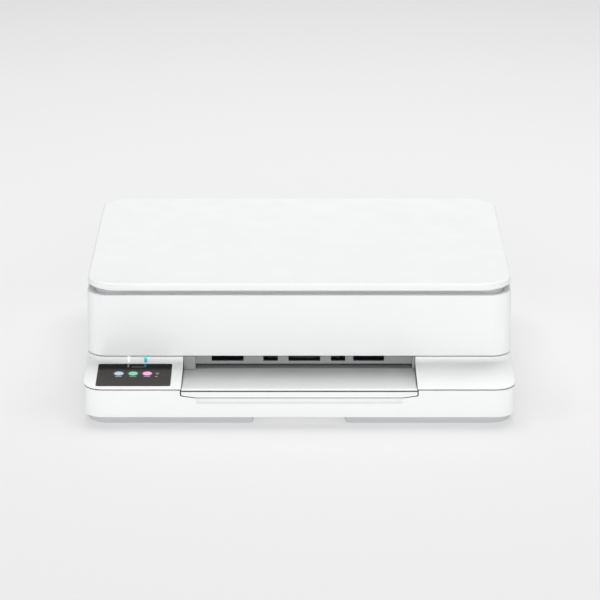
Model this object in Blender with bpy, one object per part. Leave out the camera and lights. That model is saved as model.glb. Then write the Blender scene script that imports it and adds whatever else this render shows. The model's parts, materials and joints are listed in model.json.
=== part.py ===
"""All-in-one inkjet printer: flatbed scanner and lid over a print engine, with a front paper drawer.

Frame: +X to the right as seen from the front, +Y to the back, +Z up. The origin is on the surface the
printer stands on, under the middle of its outline. Sizes below are in millimetres, and every mesh is
scaled to metres as it is made.
"""
import math

import bmesh
import bpy
from mathutils import Matrix, Vector

MM = 0.001
GAP = 0.3                       # clearance between pieces that touch

# Outline of the whole printer
BASE_HALF = 216.5               # half width of the base and the drawer front
BODY_HALF = 216.0               # half width of the scanner body and the lid
FRONT, BACK = -193.0, 193.0
BODY_FRONT = -123.0             # front face of the scanner body
CORNER = 21.0                   # corner radius in plan
LID_CORNER = 25.0
ARC_STEPS = 7

# Heights
PLINTH_BOTTOM, PLINTH_TOP = 1.0, 7.6
BASE_BOTTOM = PLINTH_TOP + GAP
FLOOR_TOP = 10.4
DRAWER_TOP = 36.6
BASE_TOP = 48.1
BODY_BOTTOM, BODY_TOP = 48.9, 113.7
LID_BOTTOM, LID_TOP = 118.0, 125.4
WALL = 3.0

# Front deck beside the output slot
SLOT_HALF = 118.3
SLOT_INNER_LEFT, SLOT_INNER_RIGHT = 106.0, 115.4    # the end blocks' inner faces, from the middle
DECK_BOTTOM = DRAWER_TOP + GAP
DECK_FRONT_TOP, DECK_BACK_TOP = 37.9, 43.3
DECK_BACK = -129.5
FILLET = 5.3
SPLIT_Y = -121.5                # where the drawer front's sides end
DECK_REAR = -100.0

# Control glass and light bars on the left deck
GLASS_X, GLASS_Y = (-204.0, -129.0), (-183.0, -131.5)
GLASS_THICK = 1.0
LIGHT_BARS = {"light_bar_white": -173.5, "light_bar_cyan": -156.5}
LIGHT_HALF = 1.4

# Drawer
PAN_HALF, PAN_BACK, PAN_TOP = 118.0, 98.0, 27.5
PAN_WALL, PAN_FLOOR = 2.2, 2.0
HANDLE_HALF, HANDLE_Z = 118.0, (28.8, 35.2)
RACK_MODULE, RACK_PINION_TEETH = 1.5, 12
RACK_Y = -56.0
GUIDE_X = 108.5

# Print engine
PLATE_X = 189.0                 # inner faces of the side plates
PLATE = 1.5
GEAR_MODULE = 1.25
GEAR_X = (-197.0, -192.0)
SHAFT_R = 3.0
FEED = (28.0, 43.0)             # shaft centres, (y, z)
FEED_TEETH, IDLER_TEETH, EXIT_TEETH, PICK_TEETH, MOTOR_TEETH = 32, 30, 16, 12, 10
PICK_Z = 37.5
MOTOR_ANGLE = math.radians(30.0)
CARRIAGE_X = (111.0, 187.0)
CARRIAGE_Y = (-28.0, 28.0)
CARRIAGE_Z = (52.0, 86.0)
PULLEY_R, PULLEY_X = 6.0, 170.0
BELT_Y = (38.0, 43.0)
BELT_Z = 76.5
BELT_THICK = 1.2

# Hinge axes, (y, z)
DOOR_AXIS = (187.0, 95.0)
LID_AXIS = (187.5, 116.6)
PIN_R = 2.0

COLOURS = {
    "white_shell": ((0.82, 0.82, 0.82), 0.35, 0.0),
    "light_grey_plastic": ((0.55, 0.56, 0.57), 0.5, 0.0),
    "grey_plastic": ((0.20, 0.20, 0.21), 0.5, 0.0),
    "black_plastic": ((0.02, 0.02, 0.022), 0.45, 0.0),
    "black_glass": ((0.01, 0.01, 0.012), 0.08, 0.0),
    "clear_glass": ((0.75, 0.82, 0.82), 0.05, 0.0),
    "steel": ((0.62, 0.62, 0.63), 0.3, 1.0),
    "rubber": ((0.03, 0.03, 0.03), 0.85, 0.0),
    "white_foam": ((0.86, 0.86, 0.85), 0.9, 0.0),
    "circuit_board": ((0.02, 0.16, 0.07), 0.45, 0.0),
    "white_light": ((0.95, 0.95, 0.92), 0.3, 0.0),
    "cyan_light": ((0.05, 0.42, 0.50), 0.3, 0.0),
}


# ---------------------------------------------------------------- scene and materials

def clear_scene():
    for obj in list(bpy.data.objects):
        bpy.data.objects.remove(obj, do_unlink=True)


def make_material(name):
    colour, roughness, metallic = COLOURS[name]
    material = bpy.data.materials.new(name)
    material.use_nodes = True
    shader = material.node_tree.nodes["Principled BSDF"]
    shader.inputs["Base Color"].default_value = (*colour, 1.0)
    shader.inputs["Roughness"].default_value = roughness
    shader.inputs["Metallic"].default_value = metallic
    return material


def material_copy(name, piece_name):
    """Each piece has a material of its own, named after the piece."""
    base = bpy.data.materials.get(name) or make_material(name)
    copy = base.copy()
    copy.name = piece_name + "_" + name
    return copy


def origin_of(obj):
    """World place of an object that only ever has locations above it."""
    place = Vector((0.0, 0.0, 0.0))
    while obj is not None:
        place += obj.location
        obj = obj.parent
    return place


def pivot(name, x, y, z, parent=None):
    """An empty on a joint's axis, which the moving pieces hang from."""
    empty = bpy.data.objects.new(name, None)
    empty.empty_display_size = 0.02
    empty.parent = parent
    empty.location = Vector((x, y, z)) * MM - origin_of(parent)
    bpy.context.scene.collection.objects.link(empty)
    return empty


def add_object(name, bm, parent):
    bmesh.ops.recalc_face_normals(bm, faces=bm.faces)
    bm.transform(Matrix.Translation(-origin_of(parent)) @ Matrix.Scale(MM, 4))
    mesh = bpy.data.meshes.new(name)
    bm.to_mesh(mesh)
    bm.free()
    obj = bpy.data.objects.new(name, mesh)
    obj.parent = parent
    bpy.context.scene.collection.objects.link(obj)
    return obj


def piece(name, bm, material, parent=None, smooth=False):
    obj = add_object(name, bm, parent)
    obj.data.materials.append(material_copy(material, name))
    if smooth:
        obj.data.shade_smooth()
        obj.data.set_sharp_from_angle(angle=math.radians(35.0))
    return obj


def combine(obj, bm, operation="DIFFERENCE"):
    """Cut the bmesh out of the object, or join it on, with a Boolean modifier."""
    label = f"{obj.name}_{operation.lower()}_{len(obj.modifiers)}"
    tool = add_object(label, bm, obj.parent)
    tool.hide_render = True
    tool.display_type = "WIRE"
    modifier = obj.modifiers.new(label, "BOOLEAN")
    modifier.operation = operation
    modifier.solver = "EXACT"
    modifier.object = tool


# ---------------------------------------------------------------- outlines and solids

AXES = {"X": (1, 2, 0), "Y": (0, 2, 1), "Z": (0, 1, 2)}


def place(axis, u, v, w):
    """A point from its two outline coordinates and its coordinate along the axis."""
    point = [0.0, 0.0, 0.0]
    iu, iv, iw = AXES[axis]
    point[iu], point[iv], point[iw] = u, v, w
    return point


def arc(cu, cv, radius, start, end, steps):
    """Points on an arc, angles in degrees from the first outline axis towards the second."""
    points = []
    for i in range(steps + 1):
        angle = math.radians(start + (end - start) * i / steps)
        points.append((cu + radius * math.cos(angle), cv + radius * math.sin(angle)))
    return points


def circle(cu, cv, radius, steps):
    return arc(cu, cv, radius, 0.0, 360.0 * (steps - 1) / steps, steps - 1)


def rounded(u0, u1, v0, v1, low_radius, high_radius, steps=ARC_STEPS):
    """Rectangle with one corner radius at its low-v side and another at its high-v side."""
    points = arc(u1 - low_radius, v0 + low_radius, low_radius, -90, 0, steps)
    points += arc(u1 - high_radius, v1 - high_radius, high_radius, 0, 90, steps)
    points += arc(u0 + high_radius, v1 - high_radius, high_radius, 90, 180, steps)
    points += arc(u0 + low_radius, v0 + low_radius, low_radius, 180, 270, steps)
    return points


def add_prism(bm, axis, outline, low, high):
    bottom = [bm.verts.new(place(axis, u, v, low)) for u, v in outline]
    face = bm.faces.new(bottom)
    made = bmesh.ops.extrude_face_region(bm, geom=[face])["geom"]
    top = [v for v in made if isinstance(v, bmesh.types.BMVert)]
    bmesh.ops.translate(bm, verts=top, vec=place(axis, 0.0, 0.0, high - low))
    return bm


def add_box(bm, x, y, z):
    return add_prism(bm, "Z", [(x[0], y[0]), (x[1], y[0]), (x[1], y[1]), (x[0], y[1])], *z)


def add_ring(bm, axis, outer, inner, low, high):
    """A prism with a hole: two outlines with the same number of points."""
    count = len(outer)
    loops = []
    for outline in (outer, inner):
        for level in (low, high):
            loops.append([bm.verts.new(place(axis, u, v, level)) for u, v in outline])
    outer_low, outer_high, inner_low, inner_high = loops
    for a, b in ((outer_low, outer_high), (outer_high, inner_high), (inner_high, inner_low), (inner_low, outer_low)):
        for i in range(count):
            j = (i + 1) % count
            bm.faces.new((a[i], a[j], b[j], b[i]))
    return bm


def add_turned(bm, axis, cu, cv, profile, steps):
    """A stepped round bar: profile is a list of (place along the axis, radius)."""
    loops = []
    for along, radius in profile:
        loops.append([bm.verts.new(place(axis, u, v, along)) for u, v in circle(cu, cv, radius, steps)])
    for a, b in zip(loops, loops[1:]):
        for i in range(steps):
            j = (i + 1) % steps
            bm.faces.new((a[i], a[j], b[j], b[i]))
    bm.faces.new(loops[0])
    bm.faces.new(loops[-1])
    return bm


def add_cylinder(bm, axis, cu, cv, radius, low, high, steps=20):
    return add_prism(bm, axis, circle(cu, cv, radius, steps), low, high)


def cup(bm, outline, low, high, wall, floor, open_top=True):
    """A thin-walled tray: an extruded outline whose open side is inset and pushed in."""
    add_prism(bm, "Z", outline, low, high)
    level = high if open_top else low
    bm.faces.ensure_lookup_table()
    cap = [f for f in bm.faces if all(abs(v.co.z - level) < 1e-4 for v in f.verts)]
    bmesh.ops.recalc_face_normals(bm, faces=bm.faces)
    bmesh.ops.inset_region(bm, faces=cap, thickness=wall, use_even_offset=True)
    depth = high - low - floor
    made = bmesh.ops.extrude_face_region(bm, geom=cap)["geom"]
    pushed = [v for v in made if isinstance(v, bmesh.types.BMVert)]
    bmesh.ops.translate(bm, verts=pushed, vec=(0.0, 0.0, -depth if open_top else depth))
    bmesh.ops.delete(bm, geom=[f for f in cap if f.is_valid], context="FACES_ONLY")
    return bm


def shape(builder, *args, **kwargs):
    return builder(bmesh.new(), *args, **kwargs)


def bar(profile, axis, cu, cv, steps=16):
    """Turn a list of (from, to, radius) spans into a stepped profile."""
    points = []
    for start, end, radius in profile:
        points += [(start, radius), (end, radius)]
    return shape(add_turned, axis, cu, cv, points, steps)


# ---------------------------------------------------------------- gears

def gear_outline(cu, cv, teeth, module, phase):
    """Straight-flanked teeth with running backlash; a tooth is centred on the phase angle."""
    pitch_r = teeth * module / 2.0
    tip, root = pitch_r + 0.8 * module, pitch_r - 1.15 * module
    step = 2.0 * math.pi / teeth
    points = []
    for i in range(teeth):
        middle = phase + i * step
        for radius, share in ((root, -0.27), (tip, -0.11), (tip, 0.11), (root, 0.27)):
            angle = middle + share * step
            points.append((cu + radius * math.cos(angle), cv + radius * math.sin(angle)))
    return points


def mesh_phase(angle, teeth, phase, next_teeth):
    """Phase of a gear that meshes with one of known phase, its centre lying at the given angle."""
    step = 2.0 * math.pi / teeth
    share = ((angle - phase) / step) % 1.0
    return angle + math.pi - (0.5 - share) * 2.0 * math.pi / next_teeth


def gear_centre(centre, teeth, angle, next_teeth):
    reach = (teeth + next_teeth) * GEAR_MODULE / 2.0
    return centre[0] + reach * math.cos(angle), centre[1] + reach * math.sin(angle)


def gear_train():
    """Centre, tooth count and phase of every gear in the side train."""
    train = {"feed": (FEED, FEED_TEETH, 0.0)}
    idler = gear_centre(FEED, FEED_TEETH, math.pi, IDLER_TEETH)
    idler_phase = mesh_phase(math.pi, FEED_TEETH, 0.0, IDLER_TEETH)
    train["idler"] = (idler, IDLER_TEETH, idler_phase)
    exit_centre = gear_centre(idler, IDLER_TEETH, math.pi, EXIT_TEETH)
    train["exit"] = (exit_centre, EXIT_TEETH, mesh_phase(math.pi, IDLER_TEETH, idler_phase, EXIT_TEETH))
    reach = (FEED_TEETH + PICK_TEETH) * GEAR_MODULE / 2.0
    pick_angle = math.asin((PICK_Z - FEED[1]) / reach)
    pick = gear_centre(FEED, FEED_TEETH, pick_angle, PICK_TEETH)
    train["pick"] = (pick, PICK_TEETH, mesh_phase(pick_angle, FEED_TEETH, 0.0, PICK_TEETH))
    motor = gear_centre(FEED, FEED_TEETH, MOTOR_ANGLE, MOTOR_TEETH)
    train["motor"] = (motor, MOTOR_TEETH, mesh_phase(MOTOR_ANGLE, FEED_TEETH, 0.0, MOTOR_TEETH))
    return train


TRAIN = gear_train()


# ---------------------------------------------------------------- base

def deck_height(y):
    slope = (DECK_BACK_TOP - DECK_FRONT_TOP) / (DECK_BACK - FRONT)
    return DECK_FRONT_TOP + slope * (y - FRONT)


def base_plinth():
    """Grey skirt under the base, with a notch at the front for pulling the drawer."""
    inset = 4.0
    notch_half, notch_back, notch_slant = 47.0, -160.0, 3.0
    half, front = BASE_HALF - inset, FRONT + inset
    outline = rounded(-half, half, front, BACK - inset, CORNER, CORNER)
    outline += [(-notch_half, front), (-notch_half + notch_slant, notch_back)]
    outline += [(notch_half - notch_slant, notch_back), (notch_half, front)]
    bm = shape(cup, outline, PLINTH_BOTTOM, PLINTH_TOP, 2.5, 2.0, open_top=False)
    piece("base_plinth", bm, "light_grey_plastic")


def feet():
    radius, from_side, from_end = 10.0, 32.0, 34.0
    for side, x in (("left", -BASE_HALF + from_side), ("right", BASE_HALF - from_side)):
        for end, y in (("front", FRONT + from_end), ("rear", BACK - from_end)):
            bm = shape(add_cylinder, "Z", x, y, radius, 0.0, PLINTH_TOP - 2.0 - GAP)
            piece(f"foot_{end}_{side}", bm, "rubber", smooth=True)


def base_housing():
    """Fixed pan with side walls and a low rear wall, open to the front for the drawer."""
    wall = 2.8
    outline = rounded(-BASE_HALF, BASE_HALF, SPLIT_Y + GAP, BACK, 0.5, CORNER)
    housing = piece("base_housing", shape(add_prism, "Z", outline, BASE_BOTTOM, BASE_TOP), "white_shell")
    inner = rounded(-BASE_HALF + wall, BASE_HALF - wall, SPLIT_Y - 10, BACK - wall, 0.5, CORNER - wall)
    combine(housing, shape(add_prism, "Z", inner, FLOOR_TOP, BASE_TOP + 10))
    combine(housing, shape(add_box, (-BASE_HALF - 5, BASE_HALF + 5), (SPLIT_Y - 5, DECK_REAR + GAP),
                           (DRAWER_TOP, BASE_TOP + 5)))
    windows = bmesh.new()
    for x, z, half_x, half_z in (INLET, USB):
        add_box(windows, (x - half_x - GAP, x + half_x + GAP), (BACK - 10, BACK + 5),
                (z - half_z - GAP, z + half_z + GAP))
    combine(housing, windows)


INLET = (-165.0, 28.0, 12.0, 9.0)       # x, z, half width, half height
USB = (165.0, 24.0, 7.0, 7.5)


def socket_block(name, spec, wall, contacts, material):
    """A rear socket: a box with a recess that opens to the back, and contact pins left standing in it."""
    x, z, half_x, half_z = spec
    depth = 16.0
    block = piece(name, shape(add_box, (x - half_x, x + half_x), (BACK - 18, BACK - 0.4),
                              (z - half_z, z + half_z)), material)
    recess = bmesh.new()
    outer = rounded(x - half_x + wall, x + half_x - wall, z - half_z + wall, z + half_z - wall, 2, 2, 3)
    add_prism(recess, "Y", outer, BACK - depth, BACK + 4)
    combine(block, recess)
    pins = bmesh.new()
    for offset_x, offset_z in contacts:
        add_cylinder(pins, "Y", x + offset_x, z + offset_z, 1.2, BACK - 17, BACK - 5, 10)
    combine(block, pins, "UNION")


def sockets():
    socket_block("power_inlet", INLET, 2.2, ((-4.3, 0.0), (4.3, 0.0)), "black_plastic")
    socket_block("usb_port", USB, 1.5, ((0.0, 0.0),), "black_plastic")


def deck(side):
    """Sloped deck beside the output slot, rising to the scanner body and round its front corner."""
    name = "deck_left" if side < 0 else "deck_right"
    outer = BASE_HALF
    outline = [(SLOT_HALF, FRONT)]
    outline += arc(outer - CORNER, FRONT + CORNER, CORNER, -90, 0, ARC_STEPS)
    outline += [(outer, DECK_REAR), (SLOT_HALF, DECK_REAR)]
    outline = [(side * x, y) for x, y in outline]
    plate = piece(name, shape(add_prism, "Z", outline, DECK_BOTTOM, BASE_TOP), "white_shell")

    span = sorted((side * (SLOT_HALF - 5), side * (outer + 5)))
    above = [(FRONT - 7, deck_height(FRONT - 7))]
    above += arc(DECK_BACK, DECK_BACK_TOP + FILLET, FILLET, -90, 0, 5)
    above += [(DECK_BACK + FILLET, 60.0), (FRONT - 7, 60.0)]
    combine(plate, shape(add_prism, "X", above, *span))

    corner_x, corner_y = BODY_HALF - CORNER, BODY_FRONT + CORNER
    rise_r = corner_y - DECK_BACK - FILLET
    around = arc(corner_x, corner_y, rise_r, -90, 0, ARC_STEPS)
    around += [(outer + 5, corner_y), (outer + 5, DECK_BACK), (corner_x, DECK_BACK)]
    around = [(side * x, y) for x, y in around]
    combine(plate, shape(add_prism, "Z", around, DECK_BACK_TOP, 60.0))

    skin, edge = 2.0, 3.5
    hollow_front = FRONT + 15.0
    below = [(hollow_front, 30.0), (hollow_front, deck_height(hollow_front) - skin)]
    below += [(DECK_BACK, DECK_BACK_TOP - skin), (DECK_BACK + FILLET + skin, BASE_TOP - skin)]
    below += [(DECK_REAR - skin, BASE_TOP - skin), (DECK_REAR - skin, 30.0)]
    span = sorted((side * (SLOT_HALF + edge), side * corner_x))
    combine(plate, shape(add_prism, "X", below, *span))
    return plate


def sloped_plate(x, y, top_offset, bottom_offset):
    """A plate that follows the deck's slope, between two heights measured from the deck surface."""
    y0, y1 = y
    outline = [(y0, deck_height(y0) + bottom_offset), (y1, deck_height(y1) + bottom_offset)]
    outline += [(y1, deck_height(y1) + top_offset), (y0, deck_height(y0) + top_offset)]
    return shape(add_prism, "X", outline, *x)


def widen(span, amount):
    return span[0] - amount, span[1] + amount


def control_panel(left_deck):
    """Touch glass, light bars and control board in the left deck."""
    window_in = 6.0
    combine(left_deck, sloped_plate(widen(GLASS_X, GAP), widen(GLASS_Y, GAP), 5.0, -GLASS_THICK - GAP))
    window_x, window_y = widen(GLASS_X, -window_in), widen(GLASS_Y, -window_in)
    combine(left_deck, sloped_plate(window_x, window_y, 2.0, -8.0))
    piece("display_glass", sloped_plate(GLASS_X, GLASS_Y, 0.0, -GLASS_THICK), "black_glass")
    piece("control_board", shape(add_box, (-205.0, -128.0), (-176.0, -128.0), (32.0, 33.6)), "circuit_board")

    slots = bmesh.new()
    for name, x in LIGHT_BARS.items():
        add_box(slots, (x - LIGHT_HALF - GAP, x + LIGHT_HALF + GAP), (DECK_BACK, -112.0), (43.9, 60.0))
        outline = arc(DECK_BACK, DECK_BACK_TOP + FILLET, FILLET + 0.2, -50, -8, 4)
        outline += [(-113.0, 47.9), (-113.0, 44.8)]
        bm = shape(add_prism, "X", outline, x - LIGHT_HALF, x + LIGHT_HALF)
        piece(name, bm, "white_light" if "white" in name else "cyan_light")
    combine(left_deck, slots)


def exit_frame():
    """Bar and posts at the back of the output slot; sheets come out through the windows between them."""
    half, y = SLOT_HALF - GAP - 0.2, (-113.0, -104.5)
    frame = piece("exit_frame", shape(add_box, (-half, half), y, (DECK_BOTTOM, BASE_TOP)), "grey_plastic")
    windows = bmesh.new()
    for x0, x1 in ((-89.6, -57.0), (-36.7, -22.0), (-11.0, 21.3), (32.3, 46.9), (55.2, 86.7)):
        add_box(windows, (x0, x1), (y[0] - 5, y[1] + 5), (40.1, 46.9))
    combine(frame, windows)
    end_y, end_z = (SPLIT_Y, y[1] - 0.5), (34.0, BASE_TOP - 0.3)
    combine(frame, shape(add_box, (-half, -SLOT_INNER_LEFT), end_y, end_z), "UNION")
    combine(frame, shape(add_box, (SLOT_INNER_RIGHT, half), end_y, end_z), "UNION")


# ---------------------------------------------------------------- drawer

def drawer_front(parent):
    """White drawer front that wraps both corners, with a pocket for the extender handle."""
    outline = rounded(-BASE_HALF, BASE_HALF, FRONT, SPLIT_Y, CORNER, 0.5)
    front = piece("tray_front", shape(add_prism, "Z", outline, BASE_BOTTOM, DRAWER_TOP), "white_shell", parent)
    inner_half = BASE_HALF - WALL
    inner = rounded(-inner_half, inner_half, FRONT + WALL, SPLIT_Y + 10, CORNER - WALL, 0.5)
    combine(front, shape(add_prism, "Z", inner, FLOOR_TOP, DRAWER_TOP + 10))
    pocket = (-HANDLE_HALF - 1.2, HANDLE_HALF + 1.2)
    combine(front, shape(add_box, pocket, (FRONT - 5, FRONT + 8), (HANDLE_Z[0] - 0.6, 60.0)))
    scoop_r, scoop_depth, scoop_half = 9.0, 1.6, 103.0
    scoop = circle(FRONT - scoop_r + scoop_depth, HANDLE_Z[0] - 0.6, scoop_r, 20)
    combine(front, shape(add_prism, "X", scoop, -scoop_half, scoop_half))


def drawer_pan(parent):
    """Paper pan with a low rear edge that the sheets leave over."""
    bottom, front = FLOOR_TOP + GAP, FRONT + WALL + GAP
    pan = piece("tray_pan", shape(add_box, (-PAN_HALF, PAN_HALF), (front, PAN_BACK), (bottom, PAN_TOP)),
                "grey_plastic", parent)
    inner = widen((-PAN_HALF, PAN_HALF), -PAN_WALL)
    combine(pan, shape(add_box, inner, (front + PAN_WALL, PAN_BACK - PAN_WALL), (bottom + PAN_FLOOR, 40.0)))
    combine(pan, shape(add_box, inner, (PAN_BACK - 5.0, PAN_BACK + 5.0), (bottom + 5.0, 40.0)))


def output_cover(parent):
    """Printed sheets land on this sloped cover, which carries the white front lip."""
    half = 115.2
    top = [(-104.0, 33.0), (-150.0, 33.7), (-175.0, 35.0), (-186.0, 36.0), (FRONT, 36.9)]
    under = [(FRONT, 36.0), (-186.0, 35.2)]
    under += [(y, z - 1.6) for y, z in top[2::-1]]
    outline = top + under
    cover = piece("output_tray_cover", shape(add_prism, "X", outline, -half, half), "white_shell", parent)
    skirts = bmesh.new()
    for x in ((-half, -half + 2.0), (half - 2.0, half)):
        add_box(skirts, x, (-185.0, -105.0), (PAN_TOP + GAP, 32.5))
    combine(cover, skirts, "UNION")


def extender(parent):
    """Pull-out support for printed sheets: a handle bar on a flat arm under the output cover."""
    rise, taper = 2.0, 15.0
    low, high = HANDLE_Z
    outline = [(-HANDLE_HALF + taper, low), (HANDLE_HALF - taper, low), (HANDLE_HALF - 1.0, low + rise)]
    outline += [(HANDLE_HALF, low + rise + 1.0), (HANDLE_HALF, high), (-HANDLE_HALF, high)]
    outline += [(-HANDLE_HALF, low + rise + 1.0), (-HANDLE_HALF + 1.0, low + rise)]
    handle = piece("tray_extender", shape(add_prism, "Y", outline, FRONT, FRONT + 5.5), "white_shell", parent)
    arm = [(-50.0, FRONT + 4.0), (50.0, FRONT + 4.0), (42.0, -150.0), (42.0, -62.0)]
    arm += [(-42.0, -62.0), (-42.0, -150.0)]
    combine(handle, shape(add_prism, "Z", arm, low + 0.1, low + 1.8), "UNION")


def rack_outline(x0, teeth, pitch_line, direction, back):
    """Rack outline in plan: teeth point along direction from the pitch line, and back is the plain side."""
    pitch = math.pi * RACK_MODULE
    tip, root = pitch_line + direction * 0.8 * RACK_MODULE, pitch_line - direction * 1.15 * RACK_MODULE
    points = [(x0, back), (x0, root)]
    for i in range(teeth):
        middle = x0 + (i + 0.75) * pitch
        for y, share in ((root, -0.27), (tip, -0.11), (tip, 0.11), (root, 0.27)):
            points.append((middle + share * pitch, y))
    end = x0 + (teeth + 0.5) * pitch
    return points + [(end, root), (end, back)]


def width_guides(left_parent, right_parent, pinion_parent):
    """Two paper guides on racks that one pinion keeps centred."""
    floor = FLOOR_TOP + GAP + PAN_FLOOR + GAP
    rack_z = (floor, floor + 2.5)
    pinion_r = RACK_MODULE * RACK_PINION_TEETH / 2.0
    pitch = math.pi * RACK_MODULE
    teeth = 24
    for side, parent in ((-1, left_parent), (1, right_parent)):
        name = "width_guide_left" if side < 0 else "width_guide_right"
        wall_x = sorted((side * GUIDE_X, side * (GUIDE_X + 2.0)))
        wall = piece(name, shape(add_box, wall_x, (-112.0, -20.0), (rack_z[1] + GAP, PAN_TOP - 0.5)),
                     "light_grey_plastic", parent)
        line = RACK_Y - side * pinion_r
        foot_y = sorted((line - side * 2.0, line - side * 6.0))
        combine(wall, shape(add_box, wall_x, foot_y, (floor, rack_z[1] + 1.0)), "UNION")
        start = -(round(GUIDE_X / pitch)) * pitch - 0.25 * pitch
        outline = rack_outline(start, teeth, line, side, line - side * 6.0)
        outline = [(-side * x, y) for x, y in outline]
        combine(wall, shape(add_prism, "Z", outline, *rack_z), "UNION")
    outline = gear_outline(0.0, RACK_Y, RACK_PINION_TEETH, RACK_MODULE, math.pi / 2.0)
    piece("guide_pinion", shape(add_prism, "Z", outline, *rack_z), "light_grey_plastic", pinion_parent)


# ---------------------------------------------------------------- print engine

def side_plates():
    """Steel plates that carry the shafts and the rail."""
    for side in (-1, 1):
        name = "side_plate_left" if side < 0 else "side_plate_right"
        x = sorted((side * PLATE_X, side * (PLATE_X + PLATE)))
        outline = [(-60.0, FLOOR_TOP + GAP), (72.0, FLOOR_TOP + GAP), (72.0, 70.0), (58.0, 88.0), (20.0, 88.0)]
        outline += [(-8.0, 62.0), (-60.0, 56.0)]
        plate = piece(name, shape(add_prism, "X", outline, *x), "steel")
        holes = bmesh.new()
        for part, (centre, _, _) in TRAIN.items():
            if side < 0 or part in ("feed", "exit"):
                add_cylinder(holes, "X", *centre, SHAFT_R + GAP, x[0] - 3, x[1] + 3, 16)
        combine(plate, holes)


def shafts(pivots):
    """Feed, exit and pick shafts with their rollers, and the gears on their left ends."""
    left, right = GEAR_X[0] - 0.5, PLATE_X + 5.0
    feed_spans = [(left, -112.0, SHAFT_R), (-112.0, 112.0, 5.5), (112.0, right, SHAFT_R)]
    piece("feed_roller", bar(feed_spans, "X", *FEED), "steel", pivots["feed"], smooth=True)

    exit_spans = [(left, -82.0, SHAFT_R)]
    for x in (-73.0, -29.0, 5.0, 39.0, 71.0):
        exit_spans += [(x - 6.0, x + 6.0, 5.0), (x + 6.0, x + 7.0, SHAFT_R)]
    exit_spans += [(79.0, right, SHAFT_R)]
    piece("exit_roller", bar(exit_spans, "X", *TRAIN["exit"][0]), "rubber", pivots["exit"], smooth=True)

    pick_spans = [(left, -14.0, SHAFT_R), (-14.0, 14.0, 8.5), (14.0, 24.0, SHAFT_R)]
    piece("pick_roller", bar(pick_spans, "X", *TRAIN["pick"][0]), "rubber", pivots["pick"], smooth=True)


def gears(pivots):
    for part, (centre, teeth, phase) in TRAIN.items():
        outline = gear_outline(*centre, teeth, GEAR_MODULE, phase)
        name = "motor_pinion" if part == "motor" else f"{part}_gear"
        gear = piece(name, shape(add_prism, "X", outline, *GEAR_X), "light_grey_plastic", pivots[part])
        if part != "idler":
            bore = SHAFT_R + GAP if part != "motor" else 1.5 + GAP
            hole = shape(add_cylinder, "X", *centre, bore, GEAR_X[0] - 3, GEAR_X[1] + 3, 16)
            combine(gear, hole)
    centre = TRAIN["idler"][0]
    stub = shape(add_cylinder, "X", *centre, SHAFT_R, GEAR_X[1] - 1, -PLATE_X + 4.0, 16)
    combine(bpy.data.objects["idler_gear"], stub, "UNION")


def motor(name, axis, cu, cv, radius, body, shaft_r, shaft_end):
    """A can motor whose shaft leaves one end."""
    start, end = body
    spans = [(start, end, radius), (end, shaft_end, shaft_r)]
    if shaft_end < start:
        spans = [(shaft_end, start, shaft_r), (start, end, radius)]
    piece(name, bar(spans, axis, cu, cv, 24), "steel", smooth=True)


def motors():
    line_feed = TRAIN["motor"][0]
    motor("line_feed_motor", "X", *line_feed, 13.0, (-PLATE_X + GAP, -PLATE_X + 28.0), 1.5, GEAR_X[0] - 0.5)
    motor("carriage_motor", "Y", PULLEY_X - 2.0, BELT_Z, 13.0, (BELT_Y[1] + 3.0, BELT_Y[1] + 30.0), 1.5,
          BELT_Y[0] - 0.5)


def print_path():
    """Platen under the print head, the star-wheel bar, and the curved rear guide."""
    piece("print_platen", shape(add_box, (-112.0, 112.0), (-29.0, 17.0), (37.5, 46.0)), "black_plastic")
    star = [(-46.0, 49.6), (-33.0, 49.6), (-33.0, 51.4), (-38.0, 55.0), (-46.0, 51.4)]
    piece("star_wheel_bar", shape(add_prism, "X", star, -112.0, 112.0), "black_plastic")
    turn_y, turn_z, turn_r = 104.0, 34.0, 18.0
    outline = arc(turn_y, turn_z, turn_r, -70, 80, 8) + arc(turn_y, turn_z, turn_r + 2.5, 80, -70, 8)
    piece("rear_paper_guide", shape(add_prism, "X", outline, -112.0, 112.0), "grey_plastic", smooth=True)


def service_station():
    x, y = widen(CARRIAGE_X, -3.0), widen(CARRIAGE_Y, -4.0)
    station = piece("service_station", shape(add_box, x, y, (30.0, 46.0)), "grey_plastic")
    caps = bmesh.new()
    middle = sum(CARRIAGE_X) / 2.0
    for offset in (-18.0, 18.0):
        add_box(caps, (middle + offset - 8, middle + offset + 8), (-16.0, 10.0), (44.0, 49.0))
    combine(station, caps, "UNION")


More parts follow.
